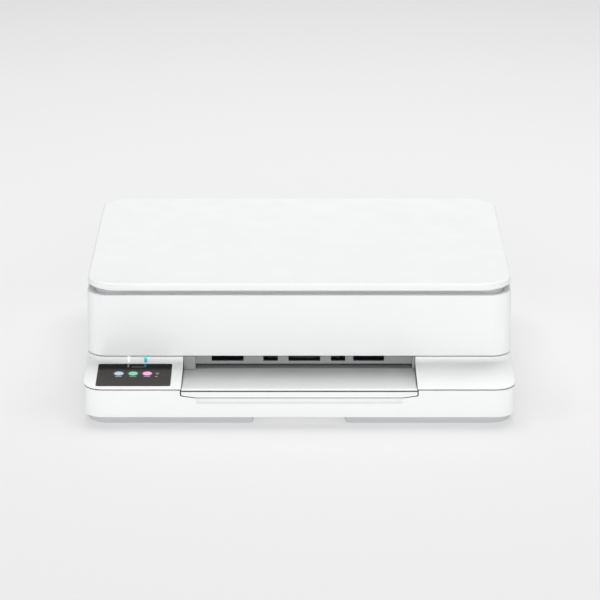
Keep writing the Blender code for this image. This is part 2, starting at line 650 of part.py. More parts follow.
def rail_and_belt(drive_pivot, idler_pivot):
    """Rail and belt loop behind the carriage, with a pulley at each end."""
    half = PLATE_X - GAP
    rail = [(30.0, 60.0), (36.5, 60.0), (36.5, 61.5), (31.5, 61.5), (31.5, 70.5), (36.5, 70.5), (36.5, 72.0),
            (30.0, 72.0)]
    track = piece("carriage_rail", shape(add_prism, "X", rail, -half, half), "steel")
    combine(track, shape(add_box, (-PULLEY_X - 5.0, -PULLEY_X + 5.0), (34.5, 36.0), (71.0, BELT_Z + 5.0)), "UNION")
    combine(track, shape(add_cylinder, "Y", -PULLEY_X, BELT_Z, 1.5, 35.0, BELT_Y[1] + 1.5, 12), "UNION")

    inner_r = PULLEY_R + GAP
    loops = []
    for radius in (inner_r + BELT_THICK, inner_r):
        loop = arc(PULLEY_X - 2.0, BELT_Z, radius, -90, 90, 8) + arc(-PULLEY_X, BELT_Z, radius, 90, 270, 8)
        loops.append(loop)
    piece("carriage_belt", shape(add_ring, "Y", *loops, *BELT_Y), "rubber")
    for name, x, parent in (("drive_pulley", PULLEY_X - 2.0, drive_pivot), ("idler_pulley", -PULLEY_X, idler_pivot)):
        rim = PULLEY_R + 1.8
        spans = [(BELT_Y[0] - 0.3 - 0.8, BELT_Y[0] - 0.3, rim), (BELT_Y[0] - 0.3, BELT_Y[1] + 0.3, PULLEY_R)]
        spans += [(BELT_Y[1] + 0.3, BELT_Y[1] + 1.1, rim)]
        pulley = piece(name, bar(spans, "Y", x, BELT_Z, 20), "light_grey_plastic", parent, smooth=True)
        hole = shape(add_cylinder, "Y", x, BELT_Z, 1.5 + GAP, BELT_Y[0] - 5, BELT_Y[1] + 5, 12)
        combine(pulley, hole)


def carriage(parent):
    """Ink carriage: an open box with two bays, and the cartridges that stand in it."""
    (x0, x1), (y0, y1), (z0, z1) = CARRIAGE_X, CARRIAGE_Y, CARRIAGE_Z
    wall, middle = 2.0, (x0 + x1) / 2.0
    body = piece("carriage", shape(add_box, (x0, x1), (y0, y1), (z0, z1)), "grey_plastic", parent)
    bays = bmesh.new()
    for low, high in ((x0 + wall, middle - wall / 2.0), (middle + wall / 2.0, x1 - wall)):
        add_box(bays, (low, high), (y0 - 5.0, y1 - wall), (z0 + wall, z1 + 5.0))
    combine(body, bays)
    nozzle = bmesh.new()
    for offset in (-18.5, 18.5):
        add_box(nozzle, (middle + offset - 9, middle + offset + 9), (-18.0, 12.0), (z0 - 5, z0 + 5))
    combine(body, nozzle)

    labels = (("cartridge_black", x0 + wall, middle - wall / 2.0, "black_plastic"),
              ("cartridge_colour", middle + wall / 2.0, x1 - wall, "light_grey_plastic"))
    for name, low, high, material in labels:
        low, high = low + GAP, high - GAP
        cartridge = piece(name, shape(add_box, (low, high), (y0 + 1.0, y1 - wall - GAP),
                                      (z0 + wall + GAP, z1 - 4.0)), material, parent)
        centre = (low + high) / 2.0
        head = shape(add_box, (centre - 7, centre + 7), (-16.0, 10.0), (z0 - 1.5, z0 + 6))
        combine(cartridge, head, "UNION")


def electronics():
    """Main board on standoff height at the right rear, and the power supply at the left rear."""
    piece("main_board", shape(add_box, (126.0, 207.0), (78.0, 172.0), (14.0, 15.6)), "circuit_board")
    piece("power_supply", shape(add_box, (-207.0, -128.0), (78.0, 172.0), (FLOOR_TOP + GAP, 44.0)),
          "black_plastic")


# ---------------------------------------------------------------- rear

REAR_COVER_HALF, REAR_COVER_TOP = 195.0, 92.4
BUTTONS = {"power_button": -150.0, "wireless_button": -120.0}
BUTTON_Z, BUTTON_R = 74.0, 6.5


def rear_cover():
    """Fixed panel above the base's rear wall, holding the two rear buttons."""
    half = REAR_COVER_HALF
    y = (BACK - 2.8, BACK)
    cover = piece("rear_cover", shape(add_box, (-half, half), y, (BASE_TOP + GAP, REAR_COVER_TOP)), "white_shell")
    holes = bmesh.new()
    for x in BUTTONS.values():
        add_cylinder(holes, "Y", x, BUTTON_Z, BUTTON_R + GAP, y[0] - 5, y[1] + 5, 24)
    combine(cover, holes)
    axis_y, axis_z = DOOR_AXIS
    gusset = [(180.0, 60.0), (191.5, 54.0), (191.5, 88.0), (axis_y + 2.2, 91.0), (axis_y + 2.2, axis_z + 1.5)]
    gusset += [(axis_y - 2.2, axis_z + 2.2), (176.0, 75.0)]
    for side in (-1, 1):
        combine(cover, shape(add_prism, "X", gusset, *sorted((side * 170.0, side * 173.0))), "UNION")
        pin = sorted((side * 171.5, side * 182.5))
        combine(cover, shape(add_cylinder, "X", axis_y, axis_z, PIN_R, *pin, 16), "UNION")


def button(name, parent):
    """Round push button with a wider flange behind the panel."""
    flange, face = BACK - 2.8 - 1.6, BACK + 0.0
    spans = [(flange - 5.0, flange - 1.4, 3.0), (flange - 1.4, flange, BUTTON_R + 1.5), (flange, face, BUTTON_R)]
    piece(name, bar(spans, "Y", BUTTONS[name], BUTTON_Z, 24), "light_grey_plastic", parent, smooth=True)


def hinge_eye(x, axis, stem):
    """Hook that snaps over a hinge pin; the stem's points lead from the hook's back to its front."""
    cy, cz = axis
    outer, bore = 3.6, PIN_R + GAP
    outline = arc(cy, cz, outer, 125, 320, 8)
    outline += arc(cy, cz, bore, 320, 45, 8)
    outline += arc(cy, cz, outer, 45, 45, 1)[:1]
    return shape(add_prism, "X", outline + stem, *sorted(x))


# ---------------------------------------------------------------- scanner body and lid

def scanner_housing(parent):
    """White shell of the scanner body, which swings up to reach the cartridges."""
    outer = rounded(-BODY_HALF, BODY_HALF, BODY_FRONT, BACK, CORNER, CORNER)
    half = BODY_HALF - WALL
    inner = rounded(-half, half, BODY_FRONT + WALL, BACK - WALL, CORNER - WALL, CORNER - WALL)
    shell = piece("scanner_housing", shape(add_ring, "Z", outer, inner, BODY_BOTTOM, BODY_TOP), "white_shell", parent)
    rear_half = REAR_COVER_HALF + 0.8
    combine(shell, shape(add_box, (-rear_half, rear_half), (BACK - 10, BACK + 10), (40.0, 97.5)))
    combine(shell, shape(add_box, (-230.0, 230.0), (181.0, BACK + 10), (110.5, 130.0)))
    y, z = DOOR_AXIS
    stem = [(y + 2.5, z + 3.4), (191.5, z + 3.4), (191.5, z + 11.0), (y - 2.2, z + 11.0)]
    for side in (-1, 1):
        combine(shell, hinge_eye((side * 175.0, side * 181.0), DOOR_AXIS, stem), "UNION")


def scanner_inside(parent, bar_parent):
    """Bezel, platen glass, scanner tub, scan bar and its rail."""
    half, front, back = BODY_HALF - WALL - GAP, BODY_FRONT + WALL + GAP, 179.0
    window_x, window_y = 152.0, (-93.0, 125.0)
    top = BODY_TOP - GAP
    outer = rounded(-half, half, front, back, CORNER - WALL, 8.0)
    inner = rounded(-window_x, window_x, *window_y, 1.0, 1.0)
    piece("scanner_bezel", shape(add_ring, "Z", outer, inner, top - 2.5, top), "light_grey_plastic", parent)
    glass_top = top - 2.5 - GAP
    glass_x = widen((-window_x, window_x), 5.0)
    glass_y = widen(window_y, 5.0)
    piece("platen_glass", shape(add_box, glass_x, glass_y, (glass_top - 3.0, glass_top)), "clear_glass", parent)
    tub_top, tub_bottom = glass_top - 3.0 - GAP, 92.0
    tub = rounded(-half + 4, half - 4, front + 3, back - 3, CORNER - WALL, 2.0, 4)
    piece("scanner_tub", shape(cup, tub, tub_bottom, tub_top, 2.0, 2.0), "black_plastic", parent)
    rail_y, rail_z, rail_r = 16.0, 97.0, 2.5
    rail = shape(add_cylinder, "X", rail_y, rail_z, rail_r, -half + 6.5, half - 6.5, 14)
    piece("scan_rail", rail, "steel", parent, smooth=True)
    bar_x = (-172.0, -152.0)
    bar_bm = shape(add_box, bar_x, (window_y[0] + 1, window_y[1] - 1), (rail_z + rail_r + GAP, tub_top - 0.8))
    piece("scan_bar", bar_bm, "black_plastic", bar_parent)


def lid(parent):
    """Flat lid with a foam backed pad under it, and hooks over the hinge pins at its back."""
    outline = rounded(-BODY_HALF, BODY_HALF, BODY_FRONT, BACK, LID_CORNER, LID_CORNER, 9)
    bm = shape(cup, outline, LID_BOTTOM, LID_TOP, 2.4, 2.2, open_top=False)
    cover = piece("lid_cover", bm, "white_shell", parent)
    y, z = LID_AXIS
    stem = [(y + 2.2, LID_TOP - 1.0), (y - 2.2, LID_TOP - 1.0)]
    for side in (-1, 1):
        combine(cover, hinge_eye((side * 145.0, side * 151.0), LID_AXIS, stem), "UNION")
    pad_x, pad_y = (-158.0, 158.0), (-99.0, 131.0)
    bm = shape(add_box, pad_x, pad_y, (BODY_TOP + 0.4, LID_TOP - 2.2 - GAP))
    piece("lid_pad", bm, "white_foam", parent)


def lid_hinges(parent):
    """Hinge plates that stand at the back of the scanner body, each with a pin for the lid."""
    y, z = LID_AXIS
    outline = [(y - 6.0, 96.0), (y + 1.8, 96.0), (y + 1.8, z + 1.2), (y - 2.5, z + 2.2), (y - 6.0, z - 6.0)]
    for side, label in ((-1, "left"), (1, "right")):
        plate = shape(add_prism, "X", outline, *sorted((side * 140.0, side * 143.0)))
        hinge = piece(f"lid_hinge_{label}", plate, "grey_plastic", parent)
        pin = sorted((side * 141.5, side * 152.5))
        combine(hinge, shape(add_cylinder, "X", y, z, PIN_R, *pin, 16), "UNION")


# ---------------------------------------------------------------- assembly

def main():
    clear_scene()
    door = pivot("door_pivot", 0.0, *DOOR_AXIS)
    lid_pivot = pivot("lid_pivot", 0.0, *LID_AXIS, door)
    drawer = pivot("drawer_slide", 0.0, FRONT, BASE_BOTTOM)
    pull = pivot("extender_slide", 0.0, FRONT, HANDLE_Z[0], drawer)
    guides = [pivot(f"guide_slide_{label}", 0.0, RACK_Y, FLOOR_TOP, drawer) for label in ("left", "right")]
    pinion = pivot("pinion_pivot", 0.0, RACK_Y, FLOOR_TOP, drawer)
    carriage_slide = pivot("carriage_slide", CARRIAGE_X[0], CARRIAGE_Y[1], CARRIAGE_Z[0])
    pulley_pivots = [pivot("drive_pulley_pivot", PULLEY_X - 2.0, BELT_Y[0], BELT_Z),
                     pivot("idler_pulley_pivot", -PULLEY_X, BELT_Y[0], BELT_Z)]
    gear_pivots = {part: pivot(f"{part}_pivot", 0.0, *spec[0]) for part, spec in TRAIN.items()}
    button_pivots = {name: pivot(f"{name}_slide", x, BACK, BUTTON_Z) for name, x in BUTTONS.items()}
    scan_slide = pivot("scan_slide", -162.0, 16.0, 97.0, door)

    base_plinth()
    feet()
    base_housing()
    sockets()
    left_deck = deck(-1)
    deck(1)
    control_panel(left_deck)
    exit_frame()

    drawer_front(drawer)
    drawer_pan(drawer)
    output_cover(drawer)
    extender(pull)
    width_guides(*guides, pinion)

    side_plates()
    shafts(gear_pivots)
    gears(gear_pivots)
    motors()
    print_path()
    service_station()
    rail_and_belt(*pulley_pivots)
    carriage(carriage_slide)
    electronics()

    rear_cover()
    for name, parent in button_pivots.items():
        button(name, parent)
    scanner_housing(door)
    scanner_inside(door, scan_slide)
    lid(lid_pivot)
    lid_hinges(door)


if __name__ == "__main__":
    main()
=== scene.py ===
"""Looks of the all-in-one inkjet printer: smooth shells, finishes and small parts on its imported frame.

The frame gives every place. Sizes that a user would change are properties of the scene, and each piece,
or group of like pieces, is made by one operator of the sidebar panel.
"""

import json
import math

import bmesh
import bpy
from bpy.props import FloatProperty, FloatVectorProperty, PointerProperty
from mathutils import Matrix, Vector


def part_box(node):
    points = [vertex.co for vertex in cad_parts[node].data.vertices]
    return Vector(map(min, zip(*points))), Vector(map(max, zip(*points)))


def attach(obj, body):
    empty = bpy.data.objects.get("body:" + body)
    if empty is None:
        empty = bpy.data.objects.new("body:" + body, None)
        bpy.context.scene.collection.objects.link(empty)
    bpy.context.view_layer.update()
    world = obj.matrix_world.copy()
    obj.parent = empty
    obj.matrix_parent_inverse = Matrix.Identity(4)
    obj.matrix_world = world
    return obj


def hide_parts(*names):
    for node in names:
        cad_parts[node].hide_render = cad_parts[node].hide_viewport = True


bl_info = {
    "name": "Inkjet printer",
    "version": (1, 0, 0),
    "blender": (4, 5, 0),
    "location": "3D View > Sidebar > Printer",
    "description": "Shells, finishes and small parts of an all-in-one inkjet printer",
    "category": "Object",
}

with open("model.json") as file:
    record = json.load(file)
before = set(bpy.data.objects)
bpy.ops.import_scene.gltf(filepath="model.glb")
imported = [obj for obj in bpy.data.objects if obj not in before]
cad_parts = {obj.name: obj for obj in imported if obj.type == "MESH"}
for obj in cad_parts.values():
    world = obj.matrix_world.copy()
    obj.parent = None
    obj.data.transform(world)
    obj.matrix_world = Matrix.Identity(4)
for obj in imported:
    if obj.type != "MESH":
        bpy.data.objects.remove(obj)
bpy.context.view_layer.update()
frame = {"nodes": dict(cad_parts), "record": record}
NODES = frame["nodes"]
BODY_OF = {node: body for body, nodes in frame["record"]["behaviour"]["bodies"].items() for node in nodes}
SLOT_OF = {row["node"]: row["material_slot"] for row in frame["record"]["subparts"]}
MM = 0.001
TOUCH = 1e-6    # places nearer than this are the same place
PAST = 20 * MM  # how far a cutting tool reaches past the solid
UP = Vector((0.0, 0.0, 1.0))
BACKWARDS = Vector((0.0, 1.0, 0.0))


# ---------------------------------------------------------------- properties

def amount(name, description, default, unit="NONE"):
    return FloatProperty(name=name, description=description, default=default, min=0.0, unit=unit)


def length(name, description, default):
    return amount(name, description, default, "LENGTH")


def colour(name, description, default):
    return FloatVectorProperty(name=name, description=description, default=default, size=3, min=0.0, max=1.0,
                               subtype="COLOR")


class PrinterShape(bpy.types.PropertyGroup):
    """Roundings, walls and gaps of the shells, and the size of an icon."""
    body_corner: length("Body corner", "Corner radius of the scanner body, seen from above", 0.021)
    lid_corner: length("Lid corner", "Corner radius of the lid, seen from above", 0.032)
    lid_thickness: length("Lid thickness", "Height of the lid's edge", 0.0074)
    lid_round: length("Lid rounding", "Rounding of the lid's top edge", 0.0022)
    body_round: length("Body rounding", "Rounding of the scanner body's top edge", 0.0014)
    wall: length("Wall", "Wall of the shells", 0.003)
    edge: length("Edge", "Rounding of ordinary moulded edges", 0.0005)
    seam: length("Seam", "Height of the dark seam between the drawer front and the decks", 0.001)
    rise: length("Rise", "Radius of the deck's rise to the scanner body", 0.0053)
    glass_corner: length("Glass corner", "Corner radius of the touch glass", 0.0022)
    icon: length("Icon", "Diameter of an icon on the touch glass", 0.0092)


class PrinterColours(bpy.types.PropertyGroup):
    """Colours of the plastics and of the lit panel."""
    white: colour("White", "Shells", (0.86, 0.868, 0.866))
    light_grey: colour("Light grey", "Skirt, gears and buttons", (0.50, 0.51, 0.52))
    slot_grey: colour("Slot grey", "Frame of the output slot", (0.33, 0.335, 0.335))
    dark_grey: colour("Dark grey", "Inner parts", (0.17, 0.17, 0.175))
    black: colour("Black", "Black plastics", (0.018, 0.018, 0.02))
    first_icon: colour("First icon", "Lit colour of the first icon", (0.49, 0.62, 0.72))
    second_icon: colour("Second icon", "Lit colour of the second icon", (0.22, 0.66, 0.42))
    third_icon: colour("Third icon", "Lit colour of the third icon", (0.90, 0.42, 0.76))
    bar_top: colour("Light bar top", "Upper end of the blue green light bar", (0.02, 0.66, 0.66))
    bar_foot: colour("Light bar foot", "Lower end of the blue green light bar", (0.01, 0.24, 0.32))


class PrinterStudio(bpy.types.PropertyGroup):
    """Camera, floor and lights."""
    tilt: amount("Tilt", "How far the camera looks down", math.radians(18.0), "ROTATION")
    camera_y: length("Camera distance", "Distance in front of the printer", 2.9565)
    camera_z: length("Camera height", "Height above the floor", 1.0294)
    lens: amount("Lens", "Focal length", 176.5, "CAMERA")
    floor: colour("Floor", "Pale studio floor", (0.35, 0.35, 0.35))
    floor_glow: amount("Floor glow", "Strength of the light that the floor gives off", 0.46)
    key: amount("Key light", "Power of the overhead softbox", 67.8, "POWER")
    front: amount("Front light", "Power of the low front softbox", 52.0, "POWER")
    side: amount("Side lights", "Power of each side strip", 15.5, "POWER")
    sky: amount("Sky", "Strength of the even surrounding light", 0.02)


# ---------------------------------------------------------------- finishes

class Wire:
    """A shader socket that can be used in arithmetic."""

    def __init__(self, finish, socket):
        self.finish = finish
        self.socket = socket

    def math(self, operation, first, second=None):
        values = {0: first} if second is None else {0: first, 1: second}
        return self.finish.node("ShaderNodeMath", {"operation": operation}, values)

    def __add__(self, other):
        return self.math("ADD", self, other)

    def __sub__(self, other):
        return self.math("SUBTRACT", self, other)

    def __rsub__(self, other):
        return self.math("SUBTRACT", other, self)

    def __mul__(self, other):
        return self.math("MULTIPLY", self, other)

    def __truediv__(self, other):
        return self.math("DIVIDE", self, other)

    __radd__ = __add__
    __rmul__ = __mul__

    def size(self):
        return self.math("ABSOLUTE", self)

    def fraction(self):
        return self.math("FRACT", self)

    def root(self):
        return self.math("SQRT", self)

    def below(self, edge, blur):
        """1 where this value is under the edge, 0 above it."""
        limits = {"From Min": edge - blur, "From Max": edge + blur, "To Min": 1.0, "To Max": 0.0}
        settings = {"interpolation_type": "SMOOTHSTEP"}
        return self.finish.node("ShaderNodeMapRange", settings, {"Value": self, **limits})


class Finish:
    """A procedural material: a Principled shader and the patterns that feed it."""

    def __init__(self, name, **constants):
        self.material = bpy.data.materials.new(name)
        self.material.use_nodes = True
        self.tree = self.material.node_tree
        self.shader = self.tree.nodes["Principled BSDF"]
        self.shader.inputs["IOR"].default_value = 1.5
        for socket, value in constants.items():
            self.shader.inputs[socket.replace("_", " ")].default_value = value
        self.place = self.node("ShaderNodeTexCoord", output="Object")

    def node(self, kind, settings=None, inputs=None, output=0):
        node = self.tree.nodes.new(kind)
        for key, value in (settings or {}).items():
            setattr(node, key, value)
        for key, value in (inputs or {}).items():
            self.connect(node.inputs[key], value)
        return Wire(self, node.outputs[output])

    def connect(self, socket, value):
        if isinstance(value, Wire):
            self.tree.links.new(value.socket, socket)
        else:
            socket.default_value = value

    def feed(self, **values):
        for socket, value in values.items():
            self.connect(self.shader.inputs[socket.replace("_", " ")], value)

    def noise(self, grain, detail=2.0, stretch=None):
        """Noise whose features are about grain metres across, and longer along a stretched axis."""
        place = self.place
        if stretch:
            place = self.node("ShaderNodeMapping", {}, {"Vector": place, "Scale": stretch})
        return self.node("ShaderNodeTexNoise", {}, {"Vector": place, "Scale": 1.0 / grain, "Detail": detail})

    def mix(self, factor, low, high):
        values = {0: factor}
        for key, value in ((6, low), (7, high)):
            values[key] = value if isinstance(value, Wire) else (*value, 1.0)
        return self.node("ShaderNodeMix", {"data_type": "RGBA"}, values, output=2)

    def bump(self, height, strength, distance):
        values = {"Height": height, "Strength": strength, "Distance": distance}
        self.feed(Normal=self.node("ShaderNodeBump", {}, values))

    def voronoi(self, spacing, output=0, **settings):
        """Distance to, or colour of, cells about spacing metres across."""
        values = {"Vector": self.place, "Scale": 1.0 / spacing}
        return self.node("ShaderNodeTexVoronoi", settings, values, output)

    def axes(self):
        """The three object coordinates."""
        split = self.node("ShaderNodeSeparateXYZ", {}, {"Vector": self.place}).socket.node
        return [Wire(self, split.outputs[i]) for i in range(3)]


def shade(tint, share):
    return tuple(min(1.0, channel * share) for channel in tint)


def moulded(name, tint, roughness, grain=0.4 * MM, relief=0.25):
    """Moulded plastic: fine spark-eroded grain, faint flow marks and uneven gloss from handling."""
    finish = Finish(name)
    flow, handling, texture = finish.noise(0.07, 3.0), finish.noise(0.02, 5.0), finish.noise(grain, 2.0)
    finish.feed(Base_Color=finish.mix(flow, shade(tint, 0.975), shade(tint, 1.02)))
    finish.feed(Roughness=handling * 0.16 + texture * 0.06 + (roughness - 0.11))
    finish.bump(texture, relief, 0.03 * MM)
    return finish.material


def rolled_steel(name, tint, roughness, stretch):
    """Ground or zinc plated steel, with fine streaks along one axis and a faint crystal pattern."""
    finish = Finish(name, Metallic=1.0)
    streaks = finish.noise(0.6 * MM, 3.0, stretch)
    tone = finish.node("ShaderNodeRGBToBW", {}, {"Color": finish.voronoi(5 * MM, "Color")})
    finish.feed(Base_Color=finish.mix(tone * 0.5 + streaks * 0.5, shade(tint, 0.86), shade(tint, 1.08)))
    finish.feed(Roughness=streaks * 0.22 + tone * 0.08 + (roughness - 0.13))
    finish.bump(streaks, 0.2, 0.02 * MM)
    return finish.material


def moulded_rubber(name, tint):
    """Matte rubber with a dusty bloom and a pitted surface."""
    finish = Finish(name)
    bloom, pits = finish.noise(6 * MM, 4.0), finish.noise(0.5 * MM, 3.0)
    finish.feed(Base_Color=finish.mix(bloom, shade(tint, 0.8), shade(tint, 1.9)))
    finish.feed(Roughness=bloom * 0.15 + 0.72)
    finish.bump(pits, 0.5, 0.06 * MM)
    return finish.material


def foam_film(name):
    """White film over soft foam, with the foam's cells pressing through."""
    finish = Finish(name)
    cells = finish.voronoi(1.6 * MM, feature="SMOOTH_F1")
    patches = finish.noise(0.05, 3.0)
    finish.feed(Base_Color=finish.mix(patches, (0.84, 0.845, 0.84), (0.90, 0.90, 0.89)))
    finish.feed(Roughness=patches * 0.12 + 0.5)
    finish.bump(cells, 0.3, 0.08 * MM)
    return finish.material


def circuit_mask(name):
    """Green solder mask over routed copper, with tinned pads."""
    finish = Finish(name)
    x, y, _ = finish.axes()
    pitch, half_track = 2.4 * MM, 0.17
    blocks = finish.noise(11 * MM, 0.0).below(0.5, 0.01)
    along = ((x / pitch).fraction() - 0.5).size().below(half_track, 0.03)
    across = ((y / pitch).fraction() - 0.5).size().below(half_track, 0.03)
    tracks = blocks * along + (1.0 - blocks) * across
    pads = finish.voronoi(3.4 * MM).below(0.16, 0.02)
    mask = finish.mix(tracks, (0.012, 0.115, 0.045), (0.03, 0.21, 0.085))
    finish.feed(Base_Color=finish.mix(pads, mask, (0.58, 0.55, 0.46)))
    finish.feed(Roughness=finish.noise(4 * MM, 3.0) * 0.12 + 0.3, Metallic=pads * 0.9)
    finish.bump(tracks + pads, 0.4, 0.05 * MM)
    return finish.material


def float_glass(name):
    """Clear float glass with a faint green body and wiping marks."""
    finish = Finish(name, Transmission_Weight=0.92)
    wipes = finish.noise(6 * MM, 4.0, (0.25, 1.0, 1.0))
    finish.feed(Base_Color=finish.mix(wipes, (0.80, 0.88, 0.86), (0.86, 0.92, 0.90)))
    finish.feed(Roughness=wipes * 0.05 + 0.02)
    return finish.material


def touch_panel_glass(name, colours, shape, low, high):
    """Black glass with lit icons over short bars, a header line, a menu dot, painted reflections of the light
    bars and a painted darker reflection band along its rear.
    """
    finish = Finish(name, IOR=1.2, Specular_IOR_Level=0.1, Emission_Strength=1.0)
    x, y, _ = finish.axes()
    width, depth = high.x - low.x, high.y - low.y
    icon_y, bar_y, header_y = (low.y + share * depth for share in (0.533, 0.393, 0.845))
    radius, menu_radius, soft = shape.icon / 2.0, 1.9 * MM, 0.3 * MM
    half_bar, half_header, half_dash = 0.75 * MM, 0.45 * MM, 1.3 * MM

    def band(axis, middle, half):
        """Mask of what lies within half of a place on one axis."""
        return (axis - middle).size().below(half, soft)

    def away(middle_x, flatness):
        """Distance from a place on the icons' line, measured shorter up and down."""
        across, along = x - middle_x, y - icon_y
        return (across * across + along * along * flatness).root()

    layers = []
    icons = ((0.292, colours.first_icon), (0.484, colours.second_icon), (0.674, colours.third_icon))
    for share, tint in icons:
        centre = low.x + share * width
        gap = away(centre, 1.0)
        layers.append((gap.below(radius * 1.1, radius * 0.5), shade(tint, 0.16)))
        layers.append((gap.below(radius, soft), tuple(tint)))
        layers.append((band(x, centre, radius * 0.72) * band(y, bar_y, half_bar), shade(tint, 0.62)))
    header = band(x, low.x + 0.53 * width, 0.08 * width) * band(y, header_y, half_header)
    layers.append((header, (0.20, 0.19, 0.22)))
    menu_x = low.x + 0.81 * width
    layers.append((away(menu_x, 0.5).below(menu_radius, soft), (0.17, 0.17, 0.17)))
    layers.append((band(x, menu_x - 0.8 * MM, half_dash) * band(y, bar_y, half_bar), (0.40, 0.40, 0.40)))
    # Painted reflections of the two light bars: glowing streaks in the glass just under each bar.
    for node, half, tint in (("light_bar_white", 0.8 * MM, (0.16, 0.16, 0.16)),
                             ("light_bar_cyan", 1.4 * MM, (0.006, 0.10, 0.19))):
        bar_low, bar_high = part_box(node)
        painted_reflection_reach = (high.y - y).below(0.17 * depth, 1.5 * MM)
        layers.append((band(x, (bar_low.x + bar_high.x) / 2.0, half) * painted_reflection_reach, tint))
    lit = (0.0, 0.0, 0.0)
    for mask, tint in layers:
        lit = finish.mix(mask, lit, tint)

    smears = finish.noise(9 * MM, 4.0, (1.0, 0.4, 1.0))
    # Painted reflection: most of the glass is a lighter grey, with wiping smears, and a band along its rear
    # is near black.
    painted_dark_reflection_band = (high.y - y).below(0.27 * depth, 4.0 * MM)
    body = finish.mix(smears, (0.052, 0.046, 0.046), (0.070, 0.063, 0.062))
    finish.feed(Base_Color=finish.mix(painted_dark_reflection_band, body, (0.006, 0.009, 0.009)), Emission_Color=lit)
    finish.feed(Roughness=smears * 0.08 + 0.16)
    return finish.material


def light_pipe(name, top_tint, foot_tint, low, high, strength):
    """Frosted light pipe, brighter where the lamp sits at its top."""
    finish = Finish(name, Emission_Strength=strength)
    _, _, z = finish.axes()
    frost = finish.noise(0.5 * MM, 2.0)
    rise = (z - low.z) / (high.z - low.z)
    glow = finish.mix(rise + frost * 0.08, tuple(foot_tint), tuple(top_tint))
    dim = finish.mix(frost, shade(foot_tint, 0.2), shade(top_tint, 0.3))
    finish.feed(Base_Color=dim, Emission_Color=glow, Roughness=frost * 0.2 + 0.25)
    finish.bump(frost, 0.3, 0.03 * MM)
    return finish.material


def make_finishes():
    """One finish for each material slot of the record, and two tones round the output slot: a darker copy of
    the white that paints shade on the output cover, and a grey for the slot's frame and for a strip of
    painted shade behind the cover.
    """
    colours, shape = bpy.context.scene.printer_colours, bpy.context.scene.printer_shape
    steel_tint = (0.62, 0.63, 0.64)
    return {
        "white_shell": moulded("white moulded shell", colours.white, 0.42),
        "light_grey_plastic": moulded("light grey plastic", colours.light_grey, 0.5),
        "grey_plastic": moulded("dark grey plastic", colours.dark_grey, 0.52),
        # The output cover's finish is the white shell darkened: painted shade under the scanner body.
        "cover": moulded("output cover plastic", shade(colours.white, 0.86), 0.46),
        "slot_frame": moulded("slot frame plastic", colours.slot_grey, 0.5),
        "black_plastic": moulded("black plastic", colours.black, 0.45, relief=0.4),
        "black_glass": touch_panel_glass("touch panel glass", colours, shape, *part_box("display_glass")),
        "clear_glass": float_glass("float glass"),
        "steel": rolled_steel("zinc plated steel", steel_tint, 0.34, (0.03, 1.0, 1.0)),
        "rubber": moulded_rubber("matte rubber", (0.022, 0.022, 0.023)),
        "white_foam": foam_film("white foam film"),
        "circuit_board": circuit_mask("green solder mask"),
        "white_light": light_pipe("white light pipe", (1.0, 1.0, 0.98), (0.8, 0.8, 0.82),
                                  *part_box("light_bar_white"), 1.1),
        "cyan_light": light_pipe("blue green light pipe", colours.bar_top, colours.bar_foot,
                                 *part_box("light_bar_cyan"), 1.0),
    }


FINISHES = {}


def finish_for(slot):
    if not FINISHES:
        FINISHES.update(make_finishes())
    return FINISHES[slot]


# ---------------------------------------------------------------- solids

def block(x, y, z):
    """A box between two values on each axis."""
    bm = bmesh.new()
    bmesh.ops.create_cube(bm, size=1.0)
    size = Vector((x[1] - x[0], y[1] - y[0], z[1] - z[0]))
    middle = Vector((sum(x), sum(y), sum(z))) / 2.0
    bmesh.ops.transform(bm, matrix=Matrix.LocRotScale(middle, None, size), verts=bm.verts)
    return bm


def span(low, high, inset=0.0):
    """The x and y ranges of a box, drawn in on every side."""
    return (low.x + inset, high.x - inset), (low.y + inset, high.y - inset)


def about(middle, half):
    """The range that reaches half to each side of a middle."""
    return middle - half, middle + half


def cylinder(centre, axis, radius, depth, sides=24):
    """A round bar whose middle is at the centre."""
    bm = bmesh.new()
    bmesh.ops.create_cone(bm, cap_ends=True, segments=sides, radius1=radius, radius2=radius, depth=depth)
    turn = UP.rotation_difference(Vector(axis)).to_matrix().to_4x4()
    bmesh.ops.transform(bm, matrix=Matrix.Translation(Vector(centre)) @ turn, verts=bm.verts)
    return bm


def uprights(bm):
    """The edges that run straight up."""
    return [e for e in bm.edges if (e.verts[0].co.xy - e.verts[1].co.xy).length < TOUCH]


def front_uprights(bm):
    """The upright edges at the solid's front."""
    front = min(v.co.y for v in bm.verts)
    return [e for e in uprights(bm) if e.verts[0].co.y < front + TOUCH]


def at_height(bm, *heights):
    """The edges that lie level at one of the heights."""
    return [e for e in bm.edges if any(all(abs(v.co.z - z) < TOUCH for v in e.verts) for z in heights)]


def verts_of(made):
    """The vertices among what an operator made."""
    return [g for g in made if isinstance(g, bmesh.types.BMVert)]


def round_off(bm, edges, radius, segments=4):
    bmesh.ops.bevel(bm, geom=list(edges), affect="EDGES", offset=radius, offset_type="OFFSET",
                    segments=segments, profile=0.5, material=-1, clamp_overlap=True)
    return bm


def rounded_block(x, y, z, corner, edge=None, segments=12):
    """A box with round upright corners and softened top and bottom edges."""
    bm = block(x, y, z)
    round_off(bm, uprights(bm), corner, segments)
    if edge:
        round_off(bm, at_height(bm, *z), edge, 3)
    return bm


def front_block(x, y, z, corner):
    """A box with round upright corners at its front only."""
    bm = block(x, y, z)
    return round_off(bm, front_uprights(bm), corner, 16)


